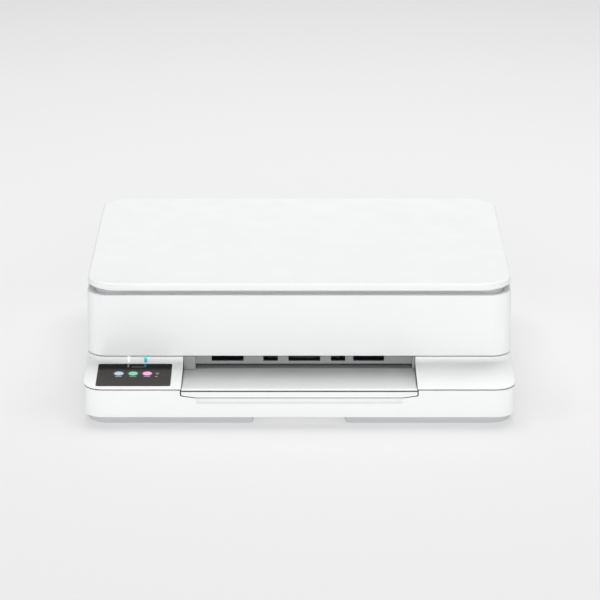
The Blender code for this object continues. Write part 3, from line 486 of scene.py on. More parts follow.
def raised(box, x, y, tall, corner, edge=None, segments=3, sunk=0.2):
    """A small block on a box's top, in millimetres.

    A range counts from the box's low side, and a negative end counts back from its high side.
    """
    low, high = box
    ranges = []
    for axis, ends in enumerate((x, y)):
        ranges.append([(low[axis] if end >= 0 else high[axis]) + end * MM for end in ends])
    z = (high.z - sunk * MM, high.z + tall * MM)
    return rounded_block(*ranges, z, corner * MM, edge and edge * MM, segments)


def mesh_of(bm, name):
    """The bmesh's contents as a mesh; the bmesh is freed."""
    mesh = bpy.data.meshes.new(name)
    bm.to_mesh(mesh)
    bm.free()
    return mesh


def in_scene(name, data):
    """A new object in the scene."""
    obj = bpy.data.objects.new(name, data)
    bpy.context.scene.collection.objects.link(obj)
    return obj


def join(*parts):
    """Several solids in one bmesh."""
    whole = parts[0]
    for part in parts[1:]:
        mesh = mesh_of(part, "part")
        whole.from_mesh(mesh)
        bpy.data.meshes.remove(mesh)
    return whole


def carve(bm, tool):
    """The solid with the tool cut out of it."""
    made = [in_scene("carving", mesh_of(part, "carving")) for part in (bm, tool)]
    modifier = made[0].modifiers.new("carve", "BOOLEAN")
    modifier.operation, modifier.solver, modifier.object = "DIFFERENCE", "EXACT", made[1]
    result = bmesh.new()
    result.from_object(made[0], bpy.context.evaluated_depsgraph_get())
    for obj in made:
        mesh = obj.data
        bpy.data.objects.remove(obj)
        bpy.data.meshes.remove(mesh)
    return result


def mirrored(bm):
    """The same shape on the other side of the printer."""
    bmesh.ops.transform(bm, matrix=Matrix.Scale(-1.0, 4, Vector((1.0, 0.0, 0.0))), verts=bm.verts)
    bmesh.ops.reverse_faces(bm, faces=bm.faces)
    return bm


def draw_out(bm, face, vec):
    """Extrude a face along a vector and give back the face at its far end."""
    made = bmesh.ops.extrude_face_region(bm, geom=[face])["geom"]
    bmesh.ops.translate(bm, vec=vec, verts=verts_of(made))
    return next(g for g in made if isinstance(g, bmesh.types.BMFace))


def add_piece(name, bm, body, slot, replaced=(), sharp=35.0, recalculate=True, tone=None):
    """A piece that rides on a body, in its slot's finish or in another tone of it."""
    if recalculate:
        bmesh.ops.recalc_face_normals(bm, faces=bm.faces)
    mesh = mesh_of(bm, name)
    mesh.shade_smooth()
    mesh.set_sharp_from_angle(angle=math.radians(sharp))
    mesh.materials.append(finish_for(tone or slot))
    obj = in_scene(name, mesh)
    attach(obj, body)
    if replaced:
        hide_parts(*replaced)
    normals = obj.modifiers.new("weighted normals", "WEIGHTED_NORMAL")
    normals.keep_sharp = True
    return obj


def soften(node, radius, segments=3, cuts=(), tone=None):
    """Stand a copy of a CAD node, cut where asked and with its edges rounded, in for the node."""
    bm = bmesh.new()
    bm.from_mesh(NODES[node].data)
    bmesh.ops.remove_doubles(bm, verts=bm.verts, dist=TOUCH)
    bmesh.ops.dissolve_limit(bm, angle_limit=math.radians(0.5), verts=bm.verts, edges=bm.edges)
    for tool in cuts:
        bm = carve(bm, tool)
    obj = add_piece(node + "_moulding", bm, BODY_OF[node], SLOT_OF[node], (node,), 180.0, False, tone)
    obj.modifiers.clear()
    modifier = obj.modifiers.new("rounded edges", "BEVEL")
    modifier.width, modifier.segments, modifier.limit_method = radius, segments, "ANGLE"
    modifier.angle_limit = math.radians(38.0)
    modifier.use_clamp_overlap = False
    if cuts:
        obj.modifiers.new("weighted normals", "WEIGHTED_NORMAL")
    else:
        modifier.harden_normals = True


def dress(*nodes):
    """Give carried-over CAD nodes the finish of their slot."""
    for node in nodes:
        NODES[node].material_slots[0].material = finish_for(SLOT_OF[node])


def hook(x, pin):
    """A C-shaped hook around a hinge pin, made by turning its section about the pin."""
    axis_y, axis_z = pin
    bore, outer = 2.3 * MM, 3.6 * MM
    start, sweep = math.radians(125.0), math.radians(195.0)
    bm = bmesh.new()
    corners = [bm.verts.new((along, axis_y + radius, axis_z))
               for along, radius in ((x[0], bore), (x[1], bore), (x[1], outer), (x[0], outer))]
    section = bm.faces.new(corners)
    turn = Matrix.Translation((0.0, axis_y, axis_z)) @ Matrix.Rotation(start, 4, "X")
    bmesh.ops.transform(bm, matrix=turn @ Matrix.Translation((0.0, -axis_y, -axis_z)), verts=bm.verts)
    bmesh.ops.spin(bm, geom=[section, *section.edges, *section.verts], cent=(0.0, axis_y, axis_z),
                   axis=(1.0, 0.0, 0.0), angle=sweep, steps=14)
    return bm


def hinge_hooks(pin, near, far, y, z):
    """At each side, a hook round the pin and the lug that carries it."""
    parts = []
    for side in (-1, 1):
        x = sorted((side * near, side * far))
        parts += [hook(x, pin), rounded_block(x, y, z, 0.4 * MM, None, 2)]
    return parts


class PrinterPart:
    """What every operator shares."""
    bl_options = {"REGISTER", "UNDO"}

    @property
    def shape(self):
        return bpy.context.scene.printer_shape

    def execute(self, context):
        self.build()
        return {"FINISHED"}


# ---------------------------------------------------------------- lid and scanner

DOOR_PIN = (187.0 * MM, 95.0 * MM)
LID_PIN = (187.5 * MM, 116.6 * MM)


class PRINTER_OT_lid(PrinterPart, bpy.types.Operator):
    """Flat lid with a rounded top edge, hollow underneath, and its foam pad."""
    bl_idname = "printer.lid"
    bl_label = "Lid"

    def build(self):
        shape = self.shape
        low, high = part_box("lid_cover")
        bottom = high.z - shape.lid_thickness
        skin, step_in, step_tall = 2.2 * MM, 2.2 * MM, 1.8 * MM
        lid = block(*span(low, high), (bottom, high.z))
        round_off(lid, uprights(lid), shape.lid_corner, 16)
        round_off(lid, at_height(lid, high.z), shape.lid_round, 6)
        round_off(lid, at_height(lid, bottom), shape.edge, 3)
        underside = [f for f in lid.faces if all(abs(v.co.z - bottom) < TOUCH for v in f.verts)]
        bmesh.ops.inset_region(lid, faces=underside, thickness=2.0 * step_in, use_even_offset=True)
        hollow = bmesh.ops.extrude_face_region(lid, geom=underside)["geom"]
        bmesh.ops.translate(lid, vec=UP * (shape.lid_thickness - skin), verts=verts_of(hollow))
        bmesh.ops.delete(lid, geom=[f for f in underside if f.is_valid], context="FACES_ONLY")
        around = block(*span(low, high, -step_tall), about(bottom, step_tall))
        inside = rounded_block(*span(low, high, step_in), about(bottom, 2 * step_tall),
                               shape.lid_corner - step_in, None, 16)
        lid = carve(lid, carve(around, inside))
        pin_y, pin_z = LID_PIN
        near, far, lug_half, lug_up, top_in = 145.0 * MM, 151.0 * MM, 2.2 * MM, 2.6 * MM, 1.5 * MM
        hooks = hinge_hooks(LID_PIN, near, far, about(pin_y, lug_half), (pin_z + lug_up, high.z - top_in))
        add_piece("lid_shell", join(lid, *hooks), "lid", "white_shell", ("lid_cover",))

        low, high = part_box("lid_pad")
        pad = rounded_block(*span(low, high), (low.z, high.z), 4 * MM, 1.4 * MM, 6)
        pad = add_piece("foam_pad", pad, "lid", "white_foam", ("lid_pad",))


class PRINTER_OT_scanner_body(PrinterPart, bpy.types.Operator):
    """White shell of the scanner body, open above and below and cut back at the rear."""
    bl_idname = "printer.scanner_body"
    bl_label = "Scanner body"

    def build(self):
        shape = self.shape
        low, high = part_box("scanner_housing")
        shell = block(*span(low, high), (low.z, high.z))
        round_off(shell, uprights(shell), shape.body_corner, 16)
        round_off(shell, at_height(shell, high.z), shape.body_round, 5)
        round_off(shell, at_height(shell, low.z), shape.edge, 3)
        inner = rounded_block(*span(low, high, shape.wall), (low.z - PAST, high.z + PAST),
                              shape.body_corner - shape.wall, None, 16)
        shell = carve(shell, inner)
        cover_half, cover_top, lid_room_y, lid_room_z = 195.8 * MM, 97.5 * MM, 181.0 * MM, 110.5 * MM
        shell = carve(shell, block(about(0.0, cover_half), about(high.y, PAST), (low.z - PAST, cover_top)))
        shell = carve(shell, block((low.x - PAST, high.x + PAST), (lid_room_y, high.y + PAST),
                                   (lid_room_z, high.z + PAST)))
        pin_y, pin_z = DOOR_PIN
        near, far, lug_front, rear_in, lug_z = 175.0 * MM, 181.0 * MM, 2.0 * MM, 1.5 * MM, (2.8 * MM, 11 * MM)
        hooks = hinge_hooks(DOOR_PIN, near, far, (pin_y - lug_front, high.y - rear_in),
                            (pin_z + lug_z[0], pin_z + lug_z[1]))
        shell = join(shell, self.ledge(low, high), *hooks)
        add_piece("scanner_shell", shell, "scanner_body", "white_shell", ("scanner_housing",))

    def ledge(self, low, high):
        """Narrow flange inside the shell's top edge, which the lid's seal meets."""
        corner, rear = self.shape.body_corner, 178.0 * MM
        thick, outside, inside = 0.25 * MM, 2.6 * MM, 7.0 * MM
        z = (high.z - thick, high.z - 0.02 * MM)
        (x, _), (in_x, _) = span(low, high, outside), span(low, high, inside)
        ring = rounded_block(x, (low.y + outside, rear), z, corner - outside, None, 16)
        hole = rounded_block(in_x, (low.y + inside, rear - inside), (z[0] - inside, z[1] + inside),
                             corner - inside, None, 16)
        return carve(ring, hole)


class PRINTER_OT_scanner_inside(PrinterPart, bpy.types.Operator):
    """Bezel with a raised rim, platen glass, tub, scan bar with its lens strip, rail and lid hinges."""
    bl_idname = "printer.scanner_inside"
    bl_label = "Scanner inside"

    def build(self):
        low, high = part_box("scanner_bezel")
        glass_low, glass_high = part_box("platen_glass")
        lap = 5.0 * MM
        bezel = rounded_block(*span(low, high), (low.z, high.z), 17 * MM, None, 14)
        window = rounded_block(*span(glass_low, glass_high, lap), (low.z - lap, high.z + lap), 1.2 * MM,
                               None, 4)
        bezel = carve(bezel, window)
        rim_in, rim_wide, rim_top = 4.6 * MM, 1.6 * MM, high.z + 3.2 * MM
        rim = rounded_block(*span(low, high, rim_in), (high.z - 0.5 * MM, rim_top), 15 * MM, 0.4 * MM, 14)
        hollow = rounded_block(*span(low, high, rim_in + rim_wide), (high.z - lap, rim_top + lap), 13.4 * MM,
                               None, 14)
        bezel = join(bezel, carve(rim, hollow))
        add_piece("scanner_frame", bezel, "scanner_body", "light_grey_plastic", ("scanner_bezel",))
        for node, radius in (("platen_glass", 0.4), ("scanner_tub", 0.4), ("lid_hinge_left", 0.25),
                             ("lid_hinge_right", 0.25)):
            soften(node, radius * MM)
        dress("scan_rail")
        self.scan_head()

    def scan_head(self):
        """Scan bar with a glass lens strip set in its top."""
        low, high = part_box("scan_bar")
        edge, wall, play = 0.5 * MM, Vector((7.0, 3.0, 0.0)) * MM, 0.3 * MM
        bar = rounded_block(*span(low, high), (low.z, high.z - edge), 1.2 * MM, edge, 4)
        groove = block(*span(low + wall, high - wall), (high.z - 1.6 * MM, high.z + MM))
        add_piece("scan_head", carve(bar, groove), "scan_bar", "black_plastic", ("scan_bar",))
        lens = rounded_block(*span(low + wall, high - wall, play), (high.z - 1.5 * MM, high.z - 0.6 * MM),
                             0.6 * MM, 0.2 * MM, 3)
        add_piece("scan_lens", lens, "scan_bar", "clear_glass")


# ---------------------------------------------------------------- front

def deck_slope():
    """Rise of the deck for each metre of depth, and its height at the glass's front edge."""
    low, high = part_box("display_glass")
    glass_thick = 1.0 * MM
    front = low.z + glass_thick
    return (high.z - front) / (high.y - low.y), front, low.y


def deck_underside():
    """Height of the decks' lower edge at the front, just over the seam above the drawer."""
    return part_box("deck_left")[0].z + 0.6 * MM


def rise_foot():
    """Depth and height of the line where the deck starts to rise to the scanner body."""
    slope, front, front_y = deck_slope()
    body_low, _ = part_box("scanner_housing")
    foot_y = body_low.y - 6.5 * MM
    return foot_y, front + slope * (foot_y - front_y)


def on_deck(bm, verts=None):
    """Shear a shape so that a level at z = 0 becomes the deck's surface."""
    slope, front, front_y = deck_slope()
    shear = Matrix(((1, 0, 0, 0), (0, 1, 0, 0), (0, slope, 1, front - slope * front_y), (0, 0, 0, 1)))
    bmesh.ops.transform(bm, matrix=shear, verts=verts or bm.verts)
    return bm


class PRINTER_OT_decks(PrinterPart, bpy.types.Operator):
    """Sloped decks beside the output slot, whose rise follows the scanner body round its front corners."""
    bl_idname = "printer.decks"
    bl_label = "Front decks"

    def build(self):
        for side, node in ((-1, "deck_left"), (1, "deck_right")):
            deck = join(self.plate(), self.rim())
            add_piece(node + "_shell", deck if side < 0 else mirrored(deck), "base", "white_shell", (node,),
                      sharp=40.0, recalculate=side < 0)

    def plate(self):
        """Deck plate: a slab one metre tall, whose top is brought down onto the deck's slope."""
        low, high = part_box("deck_left")
        middle_x, half_height = (low.x + high.x) / 2.0, 0.5
        plate = block(*span(low, high), (0.0, 1.0))
        outer = [e for e in front_uprights(plate) if e.verts[0].co.x < middle_x]
        round_off(plate, outer, self.shape.body_corner, 16)
        edges = at_height(plate, 1.0)
        top = [v for v in plate.verts if v.co.z > half_height]
        bottom = [v for v in plate.verts if v.co.z < half_height]
        bmesh.ops.translate(plate, vec=-UP, verts=top)
        on_deck(plate, top)
        bmesh.ops.translate(plate, vec=UP * deck_underside(), verts=bottom)
        return round_off(plate, edges, 0.3 * MM, 3)

    def rim(self):
        """Concave rise, drawn along the body's front and turned round its corner."""
        low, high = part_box("deck_left")
        body_low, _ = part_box("scanner_housing")
        radius, turned, inside = self.shape.rise, self.shape.body_corner, 6.0 * MM
        foot_y, foot_z = rise_foot()
        bm = bmesh.new()
        foot = bm.verts.new((high.x, foot_y, foot_z))
        turn = math.acos((foot_z + radius - high.z) / radius)
        bmesh.ops.spin(bm, geom=[foot], cent=(high.x, foot_y, foot_z + radius), axis=(1.0, 0.0, 0.0),
                       angle=turn, steps=8)
        bm.verts.ensure_lookup_table()
        crest = bm.verts[-1].co.copy()
        outline = list(bm.verts)
        for y, z in ((crest.y + inside, crest.z), (crest.y + inside, low.z + MM), (foot_y, low.z + MM)):
            outline.append(bm.verts.new((high.x, y, z)))
        face = bm.faces.new(outline)
        corner = Vector((body_low.x + turned, body_low.y + turned, 0.0))
        end = draw_out(bm, face, (corner.x - high.x, 0.0, 0.0))
        made = bmesh.ops.spin(bm, geom=[end, *end.edges, *end.verts], cent=corner, axis=(0.0, 0.0, 1.0),
                              angle=-math.pi / 2.0, steps=16)
        end = next(g for g in made["geom_last"] if isinstance(g, bmesh.types.BMFace))
        draw_out(bm, end, (0.0, high.y - corner.y, 0.0))
        bmesh.ops.remove_doubles(bm, verts=bm.verts, dist=TOUCH / 10.0)
        bmesh.ops.bisect_plane(bm, geom=[*bm.verts, *bm.edges, *bm.faces], plane_co=(low.x, 0.0, 0.0),
                               plane_no=(-1.0, 0.0, 0.0), clear_outer=True)
        bmesh.ops.holes_fill(bm, edges=[e for e in bm.edges if e.is_boundary])
        return bm


class PRINTER_OT_touch_panel(PrinterPart, bpy.types.Operator):
    """Black touch glass with its icons, and the two light bars behind it."""
    bl_idname = "printer.touch_panel"
    bl_label = "Touch panel"

    def build(self):
        low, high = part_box("display_glass")
        proud, front_y = 0.25 * MM, low.y - 2.8 * MM
        glass = rounded_block((low.x, high.x), (front_y, high.y), (-0.5 * MM, proud), self.shape.glass_corner,
                              0.2 * MM, 6)
        add_piece("touch_glass", on_deck(glass), "base", "black_glass", ("display_glass",))
        self.light_bar("light_bar_white", 0.5)
        self.light_bar("light_bar_cyan", 1.0)

    def light_bar(self, node, share):
        """Light pipe on the upper part of the deck's concave rise, made to a share of its node's width."""
        low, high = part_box(node)
        middle, half = (low.x + high.x) / 2.0, share * (high.x - low.x) / 2.0
        foot_y, foot_z = rise_foot()
        radius = self.shape.rise
        centre = Vector((middle - half, foot_y, foot_z + radius))
        first, last = math.radians(22.0), math.radians(88.0)
        bm = bmesh.new()
        proud = 0.35 * MM
        start = bm.verts.new(centre + Matrix.Rotation(first, 3, "X") @ (UP * (proud - radius)))
        bmesh.ops.spin(bm, geom=[start], cent=centre, axis=(1.0, 0.0, 0.0), angle=last - first, steps=10)
        bm.verts.ensure_lookup_table()
        crest = bm.verts[-1].co.copy()
        outline = list(bm.verts)
        behind, under = crest.y + 1.5 * MM, foot_z - 1.0 * MM
        for y, z in ((behind, crest.z), (behind, under), (outline[0].co.y, under)):
            outline.append(bm.verts.new((crest.x, y, z)))
        draw_out(bm, bm.faces.new(outline), (2.0 * half, 0.0, 0.0))
        add_piece(node + "_pipe", bm, "base", SLOT_OF[node], (node,))


HANDLE_TOP, LIP_UNDERSIDE = 34.9 * MM, 36.33 * MM
HANDLE_SIDE, HANDLE_UNDER = 1.2 * MM, 0.6 * MM


def handle_prism(side, under, top, y):
    """The handle bar's outline, with a tapered underside, grown sideways and downwards."""
    low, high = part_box("tray_extender")
    half, bottom = high.x + side, low.z - under
    rise, taper, nick = 2.0 * MM, 15.0 * MM, 1.0 * MM
    right = [(half - taper, bottom), (half - nick, bottom + rise), (half, bottom + rise + nick), (half, top)]
    outline = right + [(-x, z) for x, z in reversed(right)]
    bm = bmesh.new()
    draw_out(bm, bm.faces.new([bm.verts.new((x, y[0], z)) for x, z in outline]), (0.0, y[1] - y[0], 0.0))
    bmesh.ops.recalc_face_normals(bm, faces=bm.faces)
    return bm


class PRINTER_OT_output_slot(PrinterPart, bpy.types.Operator):
    """Frame of the output slot, star wheels behind it, the output cover and the pull-out extender."""
    bl_idname = "printer.output_slot"
    bl_label = "Output slot"

    def build(self):
        soften("exit_frame", 0.35 * MM, tone="slot_frame")
        self.handle()
        self.cover()
        self.slot_shade_linings()
        self.star_wheels()

    def handle(self):
        """Extender: a handle bar with a tapered underside on a flat arm with three ribs along it."""
        low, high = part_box("tray_extender")
        bar = handle_prism(0.0, 0.0, HANDLE_TOP, (low.y, low.y + 5.5 * MM))
        front = [e for e in bar.edges if all(v.co.y < low.y + 0.1 * MM for v in e.verts)]
        round_off(bar, front, 0.5 * MM, 3)
        neck, waist, wide, narrow = low.y + 4 * MM, -150 * MM, 50 * MM, 42 * MM
        arm_z, arm_thick, rib_tall = low.z + 0.1 * MM, 1.7 * MM, 0.6 * MM
        right = [(wide, neck), (narrow, waist), (narrow, high.y)]
        outline = [(-wide, neck), *right, (-narrow, high.y), (-narrow, waist)]
        bm = bmesh.new()
        draw_out(bm, bm.faces.new([bm.verts.new((x, y, arm_z)) for x, y in outline]), UP * arm_thick)
        rib_y, rib_z = (-176 * MM, high.y - 6 * MM), (low.z + arm_thick, low.z + arm_thick + rib_tall)
        ribs = [rounded_block(about(x, MM), rib_y, rib_z, 0.9 * MM, 0.2 * MM, 4)
                for x in (-30 * MM, 0.0, 30 * MM)]
        add_piece("pull_out", join(bar, bm, *ribs), "extender", "white_shell", ("tray_extender",))

    def slot_shade_linings(self):
        """Painted shade in the output slot: a grey strip on the cover's rear end for the shadow under the
        frame's bar, and a black lining on the sill of the frame's windows for the shade behind them.
        """
        low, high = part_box("exit_frame")
        _, cover_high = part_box("output_tray_cover")
        side_gap, strip_front, strip_z = 0.5 * MM, -117 * MM, (33.05 * MM, 33.25 * MM)
        strip_x, _ = span(low, high, side_gap)
        # Painted shade: grey strip where the frame's bar shades the cover.
        strip = block(strip_x, (strip_front, cover_high.y), strip_z)
        add_piece("slot_shade_strip", strip, "paper_drawer", "grey_plastic", tone="slot_frame")
        windows_x, sill, bar_front = (-89.5 * MM, 86.5 * MM), 40.1 * MM, -112.6 * MM
        # Painted shade: black lining on the windows' sill.
        lining = block(windows_x, (bar_front, high.y), (sill, sill + 0.15 * MM))
        add_piece("window_shade_lining", lining, "base", "black_plastic")

    def cover(self):
        """Thin sloped cover that the prints land on, with a lip along its front and skirts at its ends."""
        low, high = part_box("output_tray_cover")
        half, rear = 117.9 * MM, high.y
        lip_deep, lip_tall, thick = 6.0 * MM, 0.55 * MM, 1.5 * MM
        profile = ((rear, 3.9), (-150 * MM, 3.2), (-172 * MM, 2.4), (low.y + lip_deep, 1.1),
                   (low.y + 0.8 * MM, 0.4))
        bm = bmesh.new()
        line = [bm.verts.new((-half, y, high.z - drop * MM)) for y, drop in profile]
        edges = [bm.edges.new(pair) for pair in zip(line, line[1:])]
        made = bmesh.ops.extrude_edge_only(bm, edges=edges)["geom"]
        bmesh.ops.translate(bm, vec=(2.0 * half, 0.0, 0.0), verts=verts_of(made))
        if bm.faces[:][0].normal.z < 0.0:
            bmesh.ops.reverse_faces(bm, faces=bm.faces)
        bmesh.ops.solidify(bm, geom=bm.faces, thickness=thick)
        lip_y, lip_bottom = (low.y, low.y + lip_deep), high.z - lip_tall
        room = block(about(0.0, half + MM), (lip_y[0] - MM, lip_y[1]), (HANDLE_TOP - MM, lip_bottom))
        bm = carve(bm, room)
        skirt_thick, skirt_y, skirt_z = 2.0 * MM, (low.y + 8 * MM, rear), (low.z, high.z - 4.2 * MM)
        skirts = [block(sorted((side * half, side * (half - skirt_thick))), skirt_y, skirt_z)
                  for side in (-1, 1)]
        # Its darker finish paints the shade under the scanner body; the lip in front stays white.
        add_piece("output_cover", join(bm, *skirts), "paper_drawer", "white_shell", ("output_tray_cover",),
                  tone="cover")
        lip_round = 0.3 * MM
        lip = rounded_block(about(0.0, half), lip_y, (lip_bottom, high.z), lip_round, None, 2)
        round_off(lip, at_height(lip, high.z), lip_round, 4)
        add_piece("output_lip", lip, "paper_drawer", "white_shell")

    def star_wheels(self):
        """Thin steel wheels that hold the fresh print against the exit rollers, just clear of them."""
        roller_low, roller_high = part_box("exit_roller")
        centre_y = (roller_low.y + roller_high.y) / 2.0
        radius, thick, play, half_pair = 2.6 * MM, 0.5 * MM, 0.1 * MM, 2.5 * MM
        wheels = []
        for pair_x in (-73.0, -29.0, 5.0, 39.0, 71.0):
            for side in (-1, 1):
                place = (pair_x * MM + side * half_pair, centre_y, roller_high.z + radius + play)
                wheels.append(cylinder(place, (1, 0, 0), radius, thick))
        add_piece("star_wheels", join(*wheels), "base", "steel")


class PRINTER_OT_paper_drawer(PrinterPart, bpy.types.Operator):
    """Drawer front, paper pan, and width guides on their racks."""
    bl_idname = "printer.paper_drawer"
    bl_label = "Paper drawer"

    def build(self):
        self.front()
        self.painted_seam_shade()
        soften("tray_pan", 0.4 * MM)
        soften("width_guide_left", 0.15 * MM, 2)
        soften("width_guide_right", 0.15 * MM, 2)
        dress("guide_pinion")
        self.pan_floor()

    def front(self):
        """Drawer front that wraps both corners, with the handle's pocket and a finger scoop under it."""
        low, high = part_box("tray_front")
        shape = self.shape
        top, floor_top = deck_underside() - shape.seam, low.z + 2.5 * MM
        front = front_block(*span(low, high), (low.z, top), shape.body_corner)
        round_off(front, at_height(front, low.z), shape.edge, 3)
        round_off(front, at_height(front, top), 0.25 * MM, 3)
        inner_x, (inner_front, _) = span(low, high, shape.wall)
        inner = front_block(inner_x, (inner_front, high.y + 10 * MM), (floor_top, top + 10 * MM),
                            shape.body_corner - shape.wall)
        front = carve(front, inner)
        pocket = handle_prism(HANDLE_SIDE, HANDLE_UNDER, top + 5 * MM, (low.y - 5 * MM, low.y + 8 * MM))
        front = carve(front, pocket)
        handle_low, handle_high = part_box("tray_extender")
        scoop_r, scoop_deep = 7.5 * MM, 2.4 * MM
        scoop_place = (0.0, low.y - scoop_r + scoop_deep, handle_low.z - HANDLE_UNDER)
        scoop = cylinder(scoop_place, (1, 0, 0), scoop_r, 2.0 * (handle_high.x - 15 * MM), 64)
        add_piece("drawer_front", carve(front, scoop), "paper_drawer", "white_shell", ("tray_front",))

    def painted_seam_shade(self):
        """Dark rubber strips that fill the seam under the decks and line the handle's pocket: painted shade
        in those gaps.
        """
        low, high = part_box("tray_front")
        corner = self.shape.body_corner
        thick, inset, behind = 0.2 * MM, 0.35 * MM, 2.6 * MM
        top = deck_underside() - self.shape.seam
        ring = front_block(*span(low, high, inset), (top - thick, top + thick), corner - inset)
        gap_x, (gap_front, _) = span(low, high, behind)
        tool_z = (30.0 * MM, 40.0 * MM)
        gap = front_block(gap_x, (gap_front, high.y + 10 * MM), tool_z, corner - behind)
        pocket = handle_prism(HANDLE_SIDE, HANDLE_UNDER, tool_z[1], (low.y - MM, low.y + 8 * MM))
        ring = carve(carve(ring, gap), pocket)
        lining = handle_prism(HANDLE_SIDE, HANDLE_UNDER, LIP_UNDERSIDE, (low.y + 0.5 * MM, low.y + 7.5 * MM))
        play = 0.05 * MM
        handle_room = handle_prism(play, play, HANDLE_TOP + play, (low.y - MM, low.y + 9 * MM))
        # These dark strips stand in for the shade inside the seams.
        add_piece("seam_shade_strips", join(ring, carve(lining, handle_room)), "paper_drawer", "rubber")

    def pan_floor(self):
        """Friction pad on the pan's floor under the pick roller, and moulded floor ribs."""
        low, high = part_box("tray_pan")
        sunk, floor = 0.2 * MM, low.z + 2.0 * MM
        pad_y, pad_z = (60 * MM, 84 * MM), (floor - sunk, floor + 0.9 * MM)
        pad = rounded_block(about(0.0, 16 * MM), pad_y, pad_z, 2 * MM, 0.3 * MM, 4)
        add_piece("pan_friction_pad", pad, "paper_drawer", "rubber")
        rib_y, rib_z = (low.y + 12 * MM, -72 * MM), (floor - sunk, floor + 0.6 * MM)
        ribs = [rounded_block((x * MM, (x + 2.0) * MM), rib_y, rib_z, 0.9 * MM, 0.2 * MM, 4)
                for x in range(-90, 91, 30)]
        add_piece("pan_ribs", join(*ribs), "paper_drawer", "grey_plastic")


# ---------------------------------------------------------------- base and rear

class PRINTER_OT_base(PrinterPart, bpy.types.Operator):
    """Housing, grey skirt and rubber feet."""
    bl_idname = "printer.base"
    bl_label = "Base"

    def build(self):
        soften("base_housing", 0.5 * MM)
        soften("base_plinth", 0.6 * MM)
        for node in ("foot_front_left", "foot_front_right", "foot_rear_left", "foot_rear_right"):
            self.foot(node)

    def foot(self, node):
        """Turned rubber foot with a rounded tread and a shallow dish in its underside."""
        low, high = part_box(node)
        middle = (low + high) / 2.0
        radius = (high.x - low.x) / 2.0
        foot = cylinder(middle, UP, radius, high.z - low.z, 48)
        round_off(foot, at_height(foot, low.z), 1.0 * MM, 4)
        tread = [f for f in foot.faces if f.normal.z < -0.9 and f.calc_area() > radius * radius]
        bmesh.ops.inset_region(foot, faces=tread, thickness=3.0 * MM, use_even_offset=True)
        bmesh.ops.inset_region(foot, faces=tread, thickness=0.6 * MM, depth=-0.6 * MM, use_even_offset=True)
        add_piece(node + "_tread", foot, BODY_OF[node], "rubber", (node,))


class PRINTER_OT_rear(PrinterPart, bpy.types.Operator):
    """Rear cover with cooling slots and screws, the two buttons and the two sockets."""
    bl_idname = "printer.rear"
    bl_label = "Rear"

    def build(self):
        low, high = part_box("rear_cover")
        bore, bore_deep, head, head_in = 3.2 * MM, 2.8 * MM, 2.6 * MM, 0.8 * MM
        places = [Vector((x * MM, high.y, low.z + 8 * MM)) for x in (-183, -60, 60, 183)]
        bores = [cylinder(place, BACKWARDS, bore, bore_deep, 32) for place in places]
        soften("rear_cover", 0.3 * MM, 2, (join(*bores), self.cooling_slots(low, high)))
        heads = [screw(place - BACKWARDS * head_in, BACKWARDS, head) for place in places]
        add_piece("rear_screws", join(*heads), "base", "steel")
        soften("power_inlet", 0.3 * MM)
        soften("usb_port", 0.3 * MM)
        for node in ("power_button", "wireless_button"):
            self.button(node)

    def button(self, node):
        """Round button with a dished face, a flange behind the cover and a stem."""
        low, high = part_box(node)
        middle = (low + high) / 2.0
        radius, flange, face = 6.5 * MM, (high.x - low.x) / 2.0, high.y
        cap_tall, plate_in, plate_thick = 3.0 * MM, 3.6 * MM, 1.2 * MM
        stem_radius, stem_tall = 3.0 * MM, 4.0 * MM
        cap = cylinder((middle.x, face - cap_tall / 2.0, middle.z), BACKWARDS, radius, cap_tall, 40)
        round_off(cap, {e for f in cap.faces if f.normal.y > 0.9 for e in f.edges}, 0.5 * MM, 3)
        front = [f for f in cap.faces if f.normal.y > 0.9 and f.calc_area() > radius * radius]
        bmesh.ops.inset_region(cap, faces=front, thickness=1.2 * MM, use_even_offset=True)
        bmesh.ops.inset_region(cap, faces=front, thickness=0.8 * MM, depth=-0.35 * MM, use_even_offset=True)
        plate = cylinder((middle.x, face - plate_in, middle.z), BACKWARDS, flange, plate_thick, 40)
        stem = cylinder((middle.x, low.y + stem_tall / 2.0, middle.z), BACKWARDS, stem_radius, stem_tall)
        add_piece(node + "_cap", join(cap, plate, stem), BODY_OF[node], SLOT_OF[node], (node,))

    def cooling_slots(self, low, high):
        """Tools that cut the cooling slots over the power supply and the main board."""
        pitch, half, each_way = 7.0 * MM, 1.5 * MM, 4
        y, z = (low.y - half, high.y + half), (low.z + 16 * MM, high.z - 8 * MM)
        return join(*(rounded_block(about(middle + step * pitch, half), y, z, 0.5 * MM, None, 2)
                      for middle in (-35 * MM, 120 * MM) for step in range(-each_way, each_way + 1)))


def screw(centre, axis, radius):
    """Pan-head screw with a cross recess."""
    tall, arm, half_slot, deep = 1.2 * MM, 0.7 * radius, 0.16 * radius, 0.5 * MM
    head = cylinder(centre, axis, radius, tall, 28)
    outer = [f for f in head.faces if f.normal.dot(axis) > 0.9]
    round_off(head, {e for f in outer for e in f.edges}, 0.45 * MM, 3)
    top = centre + axis * (tall / 2.0)
    for share in (0.0, 0.5):
        slot = block(about(0.0, arm), about(0.0, half_slot), about(0.0, deep))
        turn = UP.rotation_difference(axis).to_matrix().to_4x4() @ Matrix.Rotation(share * math.pi, 4, "Z")
        bmesh.ops.transform(slot, matrix=Matrix.Translation(top) @ turn, verts=slot.verts)
        head = carve(head, slot)
    return head


# ---------------------------------------------------------------- inside

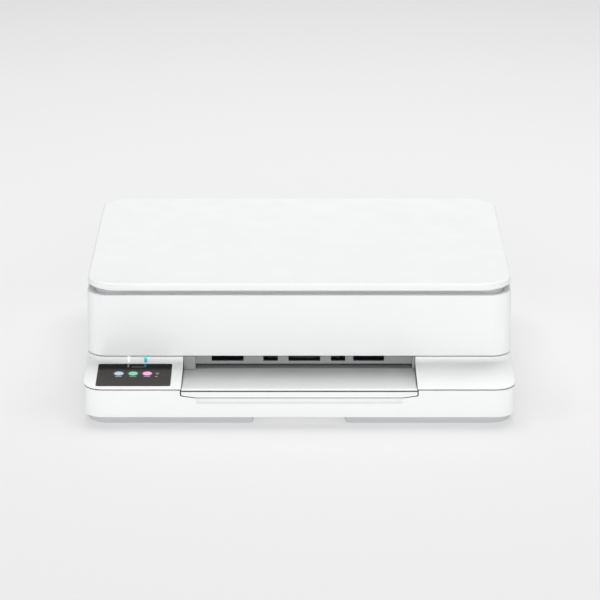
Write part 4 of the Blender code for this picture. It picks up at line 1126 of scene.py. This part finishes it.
class PRINTER_OT_engine(PrinterPart, bpy.types.Operator):
    """Side plates, shafts, gears, motors, rail, belt and paper guides."""
    bl_idname = "printer.engine"
    bl_label = "Print engine"

    def build(self):
        for node in ("side_plate_left", "side_plate_right", "carriage_rail"):
            soften(node, 0.15 * MM, 2)
        for node in ("print_platen", "star_wheel_bar", "service_station"):
            soften(node, 0.4 * MM)
        dress("feed_roller", "exit_roller", "pick_roller", "feed_gear", "idler_gear", "exit_gear",
              "pick_gear", "motor_pinion", "carriage_belt", "drive_pulley", "idler_pulley",
              "rear_paper_guide", "line_feed_motor", "carriage_motor")
        self.platen_ribs()
        self.wiper()

    def platen_ribs(self):
        """Ribs that carry the paper under the print head, with a white absorber between them."""
        low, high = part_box("print_platen")
        pitch, ends, sunk = 12, 108, high.z - 0.2 * MM
        rib_y, rib_z = (low.y + 2 * MM, high.y - 2 * MM), (sunk, high.z + 0.8 * MM)
        ribs = [rounded_block(((x - 0.6) * MM, (x + 0.6) * MM), rib_y, rib_z, 0.5 * MM, 0.2 * MM, 3)
                for x in range(-ends, ends + 1, pitch)]
        add_piece("platen_ribs", join(*ribs), "base", "black_plastic")
        pad_y, pad_z = (low.y + 12 * MM, high.y - 18 * MM), (sunk, high.z + 0.25 * MM)
        pads = [rounded_block(((x + 2) * MM, (x + 10) * MM), pad_y, pad_z, 0.8 * MM, 0.1 * MM, 3)
                for x in range(-ends, ends, pitch)]
        add_piece("ink_absorber", join(*pads), "base", "white_foam")

    def wiper(self):
        """Rubber wiper blades of the service station."""
        low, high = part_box("service_station")
        middle, apart, half = (low.x + high.x) / 2.0, 18 * MM, 7 * MM
        y, z = (low.y + 2.5 * MM, low.y + 3.5 * MM), (high.z - 3.5 * MM, high.z + 0.3 * MM)
        blades = [rounded_block(about(x, half), y, z, 0.3 * MM, 0.2 * MM, 3) for x in about(middle, apart)]
        add_piece("wiper_blades", join(*blades), "base", "rubber")


class PRINTER_OT_carriage(PrinterPart, bpy.types.Operator):
    """Ink carriage, and the two cartridges with their labels and grip ridges; the colour cartridge's label
    glows as painted light.
    """
    bl_idname = "printer.carriage"
    bl_label = "Ink carriage"

    def build(self):
        soften("carriage", 0.35 * MM)
        for node in ("cartridge_black", "cartridge_colour"):
            soften(node, 0.5 * MM)
            self.label(node)

    def label(self, node):
        """Blank paper label on the black cartridge's top and a glowing blue green label, painted light, on
        the colour one's, with grip ridges in front of each.
        """
        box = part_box(node)
        label = raised(box, (4, -4), (16, -5), 0.15, 1.5, None, 5, sunk=0.1)
        # The colour cartridge's label takes the light pipe's finish, so it glows though it is no lamp:
        # painted light.
        slot = "white_foam" if node == "cartridge_black" else "cyan_light"
        add_piece(node + "_label", label, "carriage", slot)
        ridges = [raised(box, (6, -6), (y, y + 1.2), 0.7, 0.5, 0.25) for y in (4.0, 7.0, 10.0)]
        add_piece(node + "_grip", join(*ridges), "carriage", SLOT_OF[node])


class PRINTER_OT_electronics(PrinterPart, bpy.types.Operator):
    """Boards with their chips, connectors and capacitors, and the power supply with its ribs."""
    bl_idname = "printer.electronics"
    bl_label = "Electronics"

    def build(self):
        soften("main_board", 0.15 * MM, 2)
        soften("control_board", 0.15 * MM, 2)
        soften("power_supply", 1.2 * MM, 4)
        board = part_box("main_board")
        self.chips(board)
        self.capacitors(*board)
        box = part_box("power_supply")
        ribs = [raised(box, (12, -12), (y, y + 2), 0.6, 0.9, 0.3) for y in range(12, 80, 6)]
        add_piece("supply_ribs", join(*ribs), "base", "black_plastic")

    def chips(self, board):
        """Chips and connectors, each placed in millimetres from the board's corner."""
        chips = [raised(board, (x, x + wide), (y, y + deep), tall, 0.3, 0.2, 2, sunk=0.05)
                 for x, y, wide, deep, tall in ((20, 30, 16, 16, 1.6), (48, 24, 10, 14, 1.2),
                                                (60, 60, 12, 8, 1.4), (24, 66, 8, 6, 1.2),
                                                (40, 78, 9, 9, 1.5))]
        add_piece("board_chips", join(*chips), "base", "black_plastic")
        sockets = [raised(board, (x, x + 12), (3, 9), 6.0, 0.5, 0.3, 2, sunk=0.05) for x in (8, 26, 44, 62)]
        add_piece("board_connectors", join(*sockets), "base", "white_foam")

    def capacitors(self, low, high):
        """Cans of aluminium capacitors, with rounded tops."""
        cans = []
        for x, y, radius, tall in ((10, 84, 4, 11), (22, 86, 3, 9), (66, 82, 4, 11), (72, 44, 2.5, 7)):
            top = high.z + tall * MM
            place = (low.x + x * MM, low.y + y * MM, (high.z + top) / 2.0)
            can = cylinder(place, UP, radius * MM, tall * MM, 28)
            cans.append(round_off(can, at_height(can, top), 0.5 * MM, 3))
        add_piece("board_capacitors", join(*cans), "base", "steel")


# ---------------------------------------------------------------- studio

class PRINTER_OT_studio(PrinterPart, bpy.types.Operator):
    """Pale floor, soft lights and the camera."""
    bl_idname = "printer.studio"
    bl_label = "Studio"

    def build(self):
        scene = bpy.context.scene
        studio = scene.printer_studio
        self.floor(studio)
        self.camera(scene, studio)
        scene.view_settings.view_transform = "Standard"
        middle, front = (0.0, 0.0, 0.05), (0.0, -0.1, 0.06)
        strip_size = (0.5, 1.5)
        self.lamp("overhead softbox", (0.1, 1.0, 2.3), middle, (2.4, 1.6), studio.key)
        self.lamp("front softbox", (0.0, -3.2, 1.1), middle, (1.6, 1.0), studio.front)
        self.lamp("side strip", (-2.1, -1.0, 0.8), front, strip_size, studio.side)
        self.lamp("side strip", (2.1, -1.0, 0.8), front, strip_size, studio.side)
        scene.world = bpy.data.worlds.new("studio air")
        scene.world.use_nodes = True
        backdrop = scene.world.node_tree.nodes["Background"]
        backdrop.inputs["Color"].default_value = (0.97, 0.985, 1.0, 1.0)
        backdrop.inputs["Strength"].default_value = studio.sky

    def floor(self, studio):
        """Wide matte floor that gives off some light, with very faint patches."""
        bm = bmesh.new()
        bmesh.ops.create_grid(bm, x_segments=2, y_segments=2, size=12.0)
        floor = in_scene("studio_floor", mesh_of(bm, "studio_floor"))
        finish = Finish("lit floor", Emission_Color=(1.0, 1.0, 1.0, 1.0), Emission_Strength=studio.floor_glow)
        patches = finish.noise(0.6, 2.0)
        finish.feed(Base_Color=finish.mix(patches, shade(studio.floor, 0.995), shade(studio.floor, 1.005)))
        finish.feed(Roughness=patches * 0.05 + 0.9)
        floor.data.materials.append(finish.material)

    def camera(self, scene, studio):
        data = bpy.data.cameras.new("camera")
        data.lens = studio.lens
        data.sensor_width = 36.0
        data.shift_x = 0.0012
        scene.camera = in_scene("camera", data)
        scene.camera.location = (0.0, -studio.camera_y, studio.camera_z)
        scene.camera.rotation_euler = (math.pi / 2.0 - studio.tilt, 0.0, 0.0)

    def lamp(self, name, stand, target, size, power):
        """Rectangular soft light that stands at one place and faces another."""
        data = bpy.data.lights.new(name, "AREA")
        data.shape, data.energy = "RECTANGLE", power
        data.size, data.size_y = size
        lamp = in_scene(name, data)
        lamp.location = stand
        lamp.rotation_euler = (Vector(target) - Vector(stand)).to_track_quat("-Z", "Y").to_euler()


class PRINTER_PT_parts(bpy.types.Panel):
    """Lists the printer's sizes, colours and parts."""
    bl_idname = "PRINTER_PT_parts"
    bl_label = "Inkjet printer"
    bl_space_type = "VIEW_3D"
    bl_region_type = "UI"
    bl_category = "Printer"

    def draw(self, context):
        for name in GROUPS:
            group, box = getattr(context.scene, name), self.layout.box()
            for value in group.__annotations__:
                box.prop(group, value)
        for part in PARTS:
            self.layout.operator(part.bl_idname)


GROUPS = {"printer_shape": PrinterShape, "printer_colours": PrinterColours, "printer_studio": PrinterStudio}
PARTS = (PRINTER_OT_studio, PRINTER_OT_lid, PRINTER_OT_scanner_body, PRINTER_OT_scanner_inside,
         PRINTER_OT_decks, PRINTER_OT_touch_panel, PRINTER_OT_output_slot, PRINTER_OT_paper_drawer,
         PRINTER_OT_base, PRINTER_OT_rear, PRINTER_OT_engine, PRINTER_OT_carriage, PRINTER_OT_electronics)


def register():
    for name, group in GROUPS.items():
        bpy.utils.register_class(group)
        setattr(bpy.types.Scene, name, PointerProperty(type=group))
    for cls in (*PARTS, PRINTER_PT_parts):
        bpy.utils.register_class(cls)


def unregister():
    for cls in (PRINTER_PT_parts, *reversed(PARTS)):
        bpy.utils.unregister_class(cls)
    for name, group in GROUPS.items():
        delattr(bpy.types.Scene, name)
        bpy.utils.unregister_class(group)


def main():
    register()
    for part in PARTS:
        family, name = part.bl_idname.split(".")
        getattr(getattr(bpy.ops, family), name)()


if __name__ == "__main__":
    main()
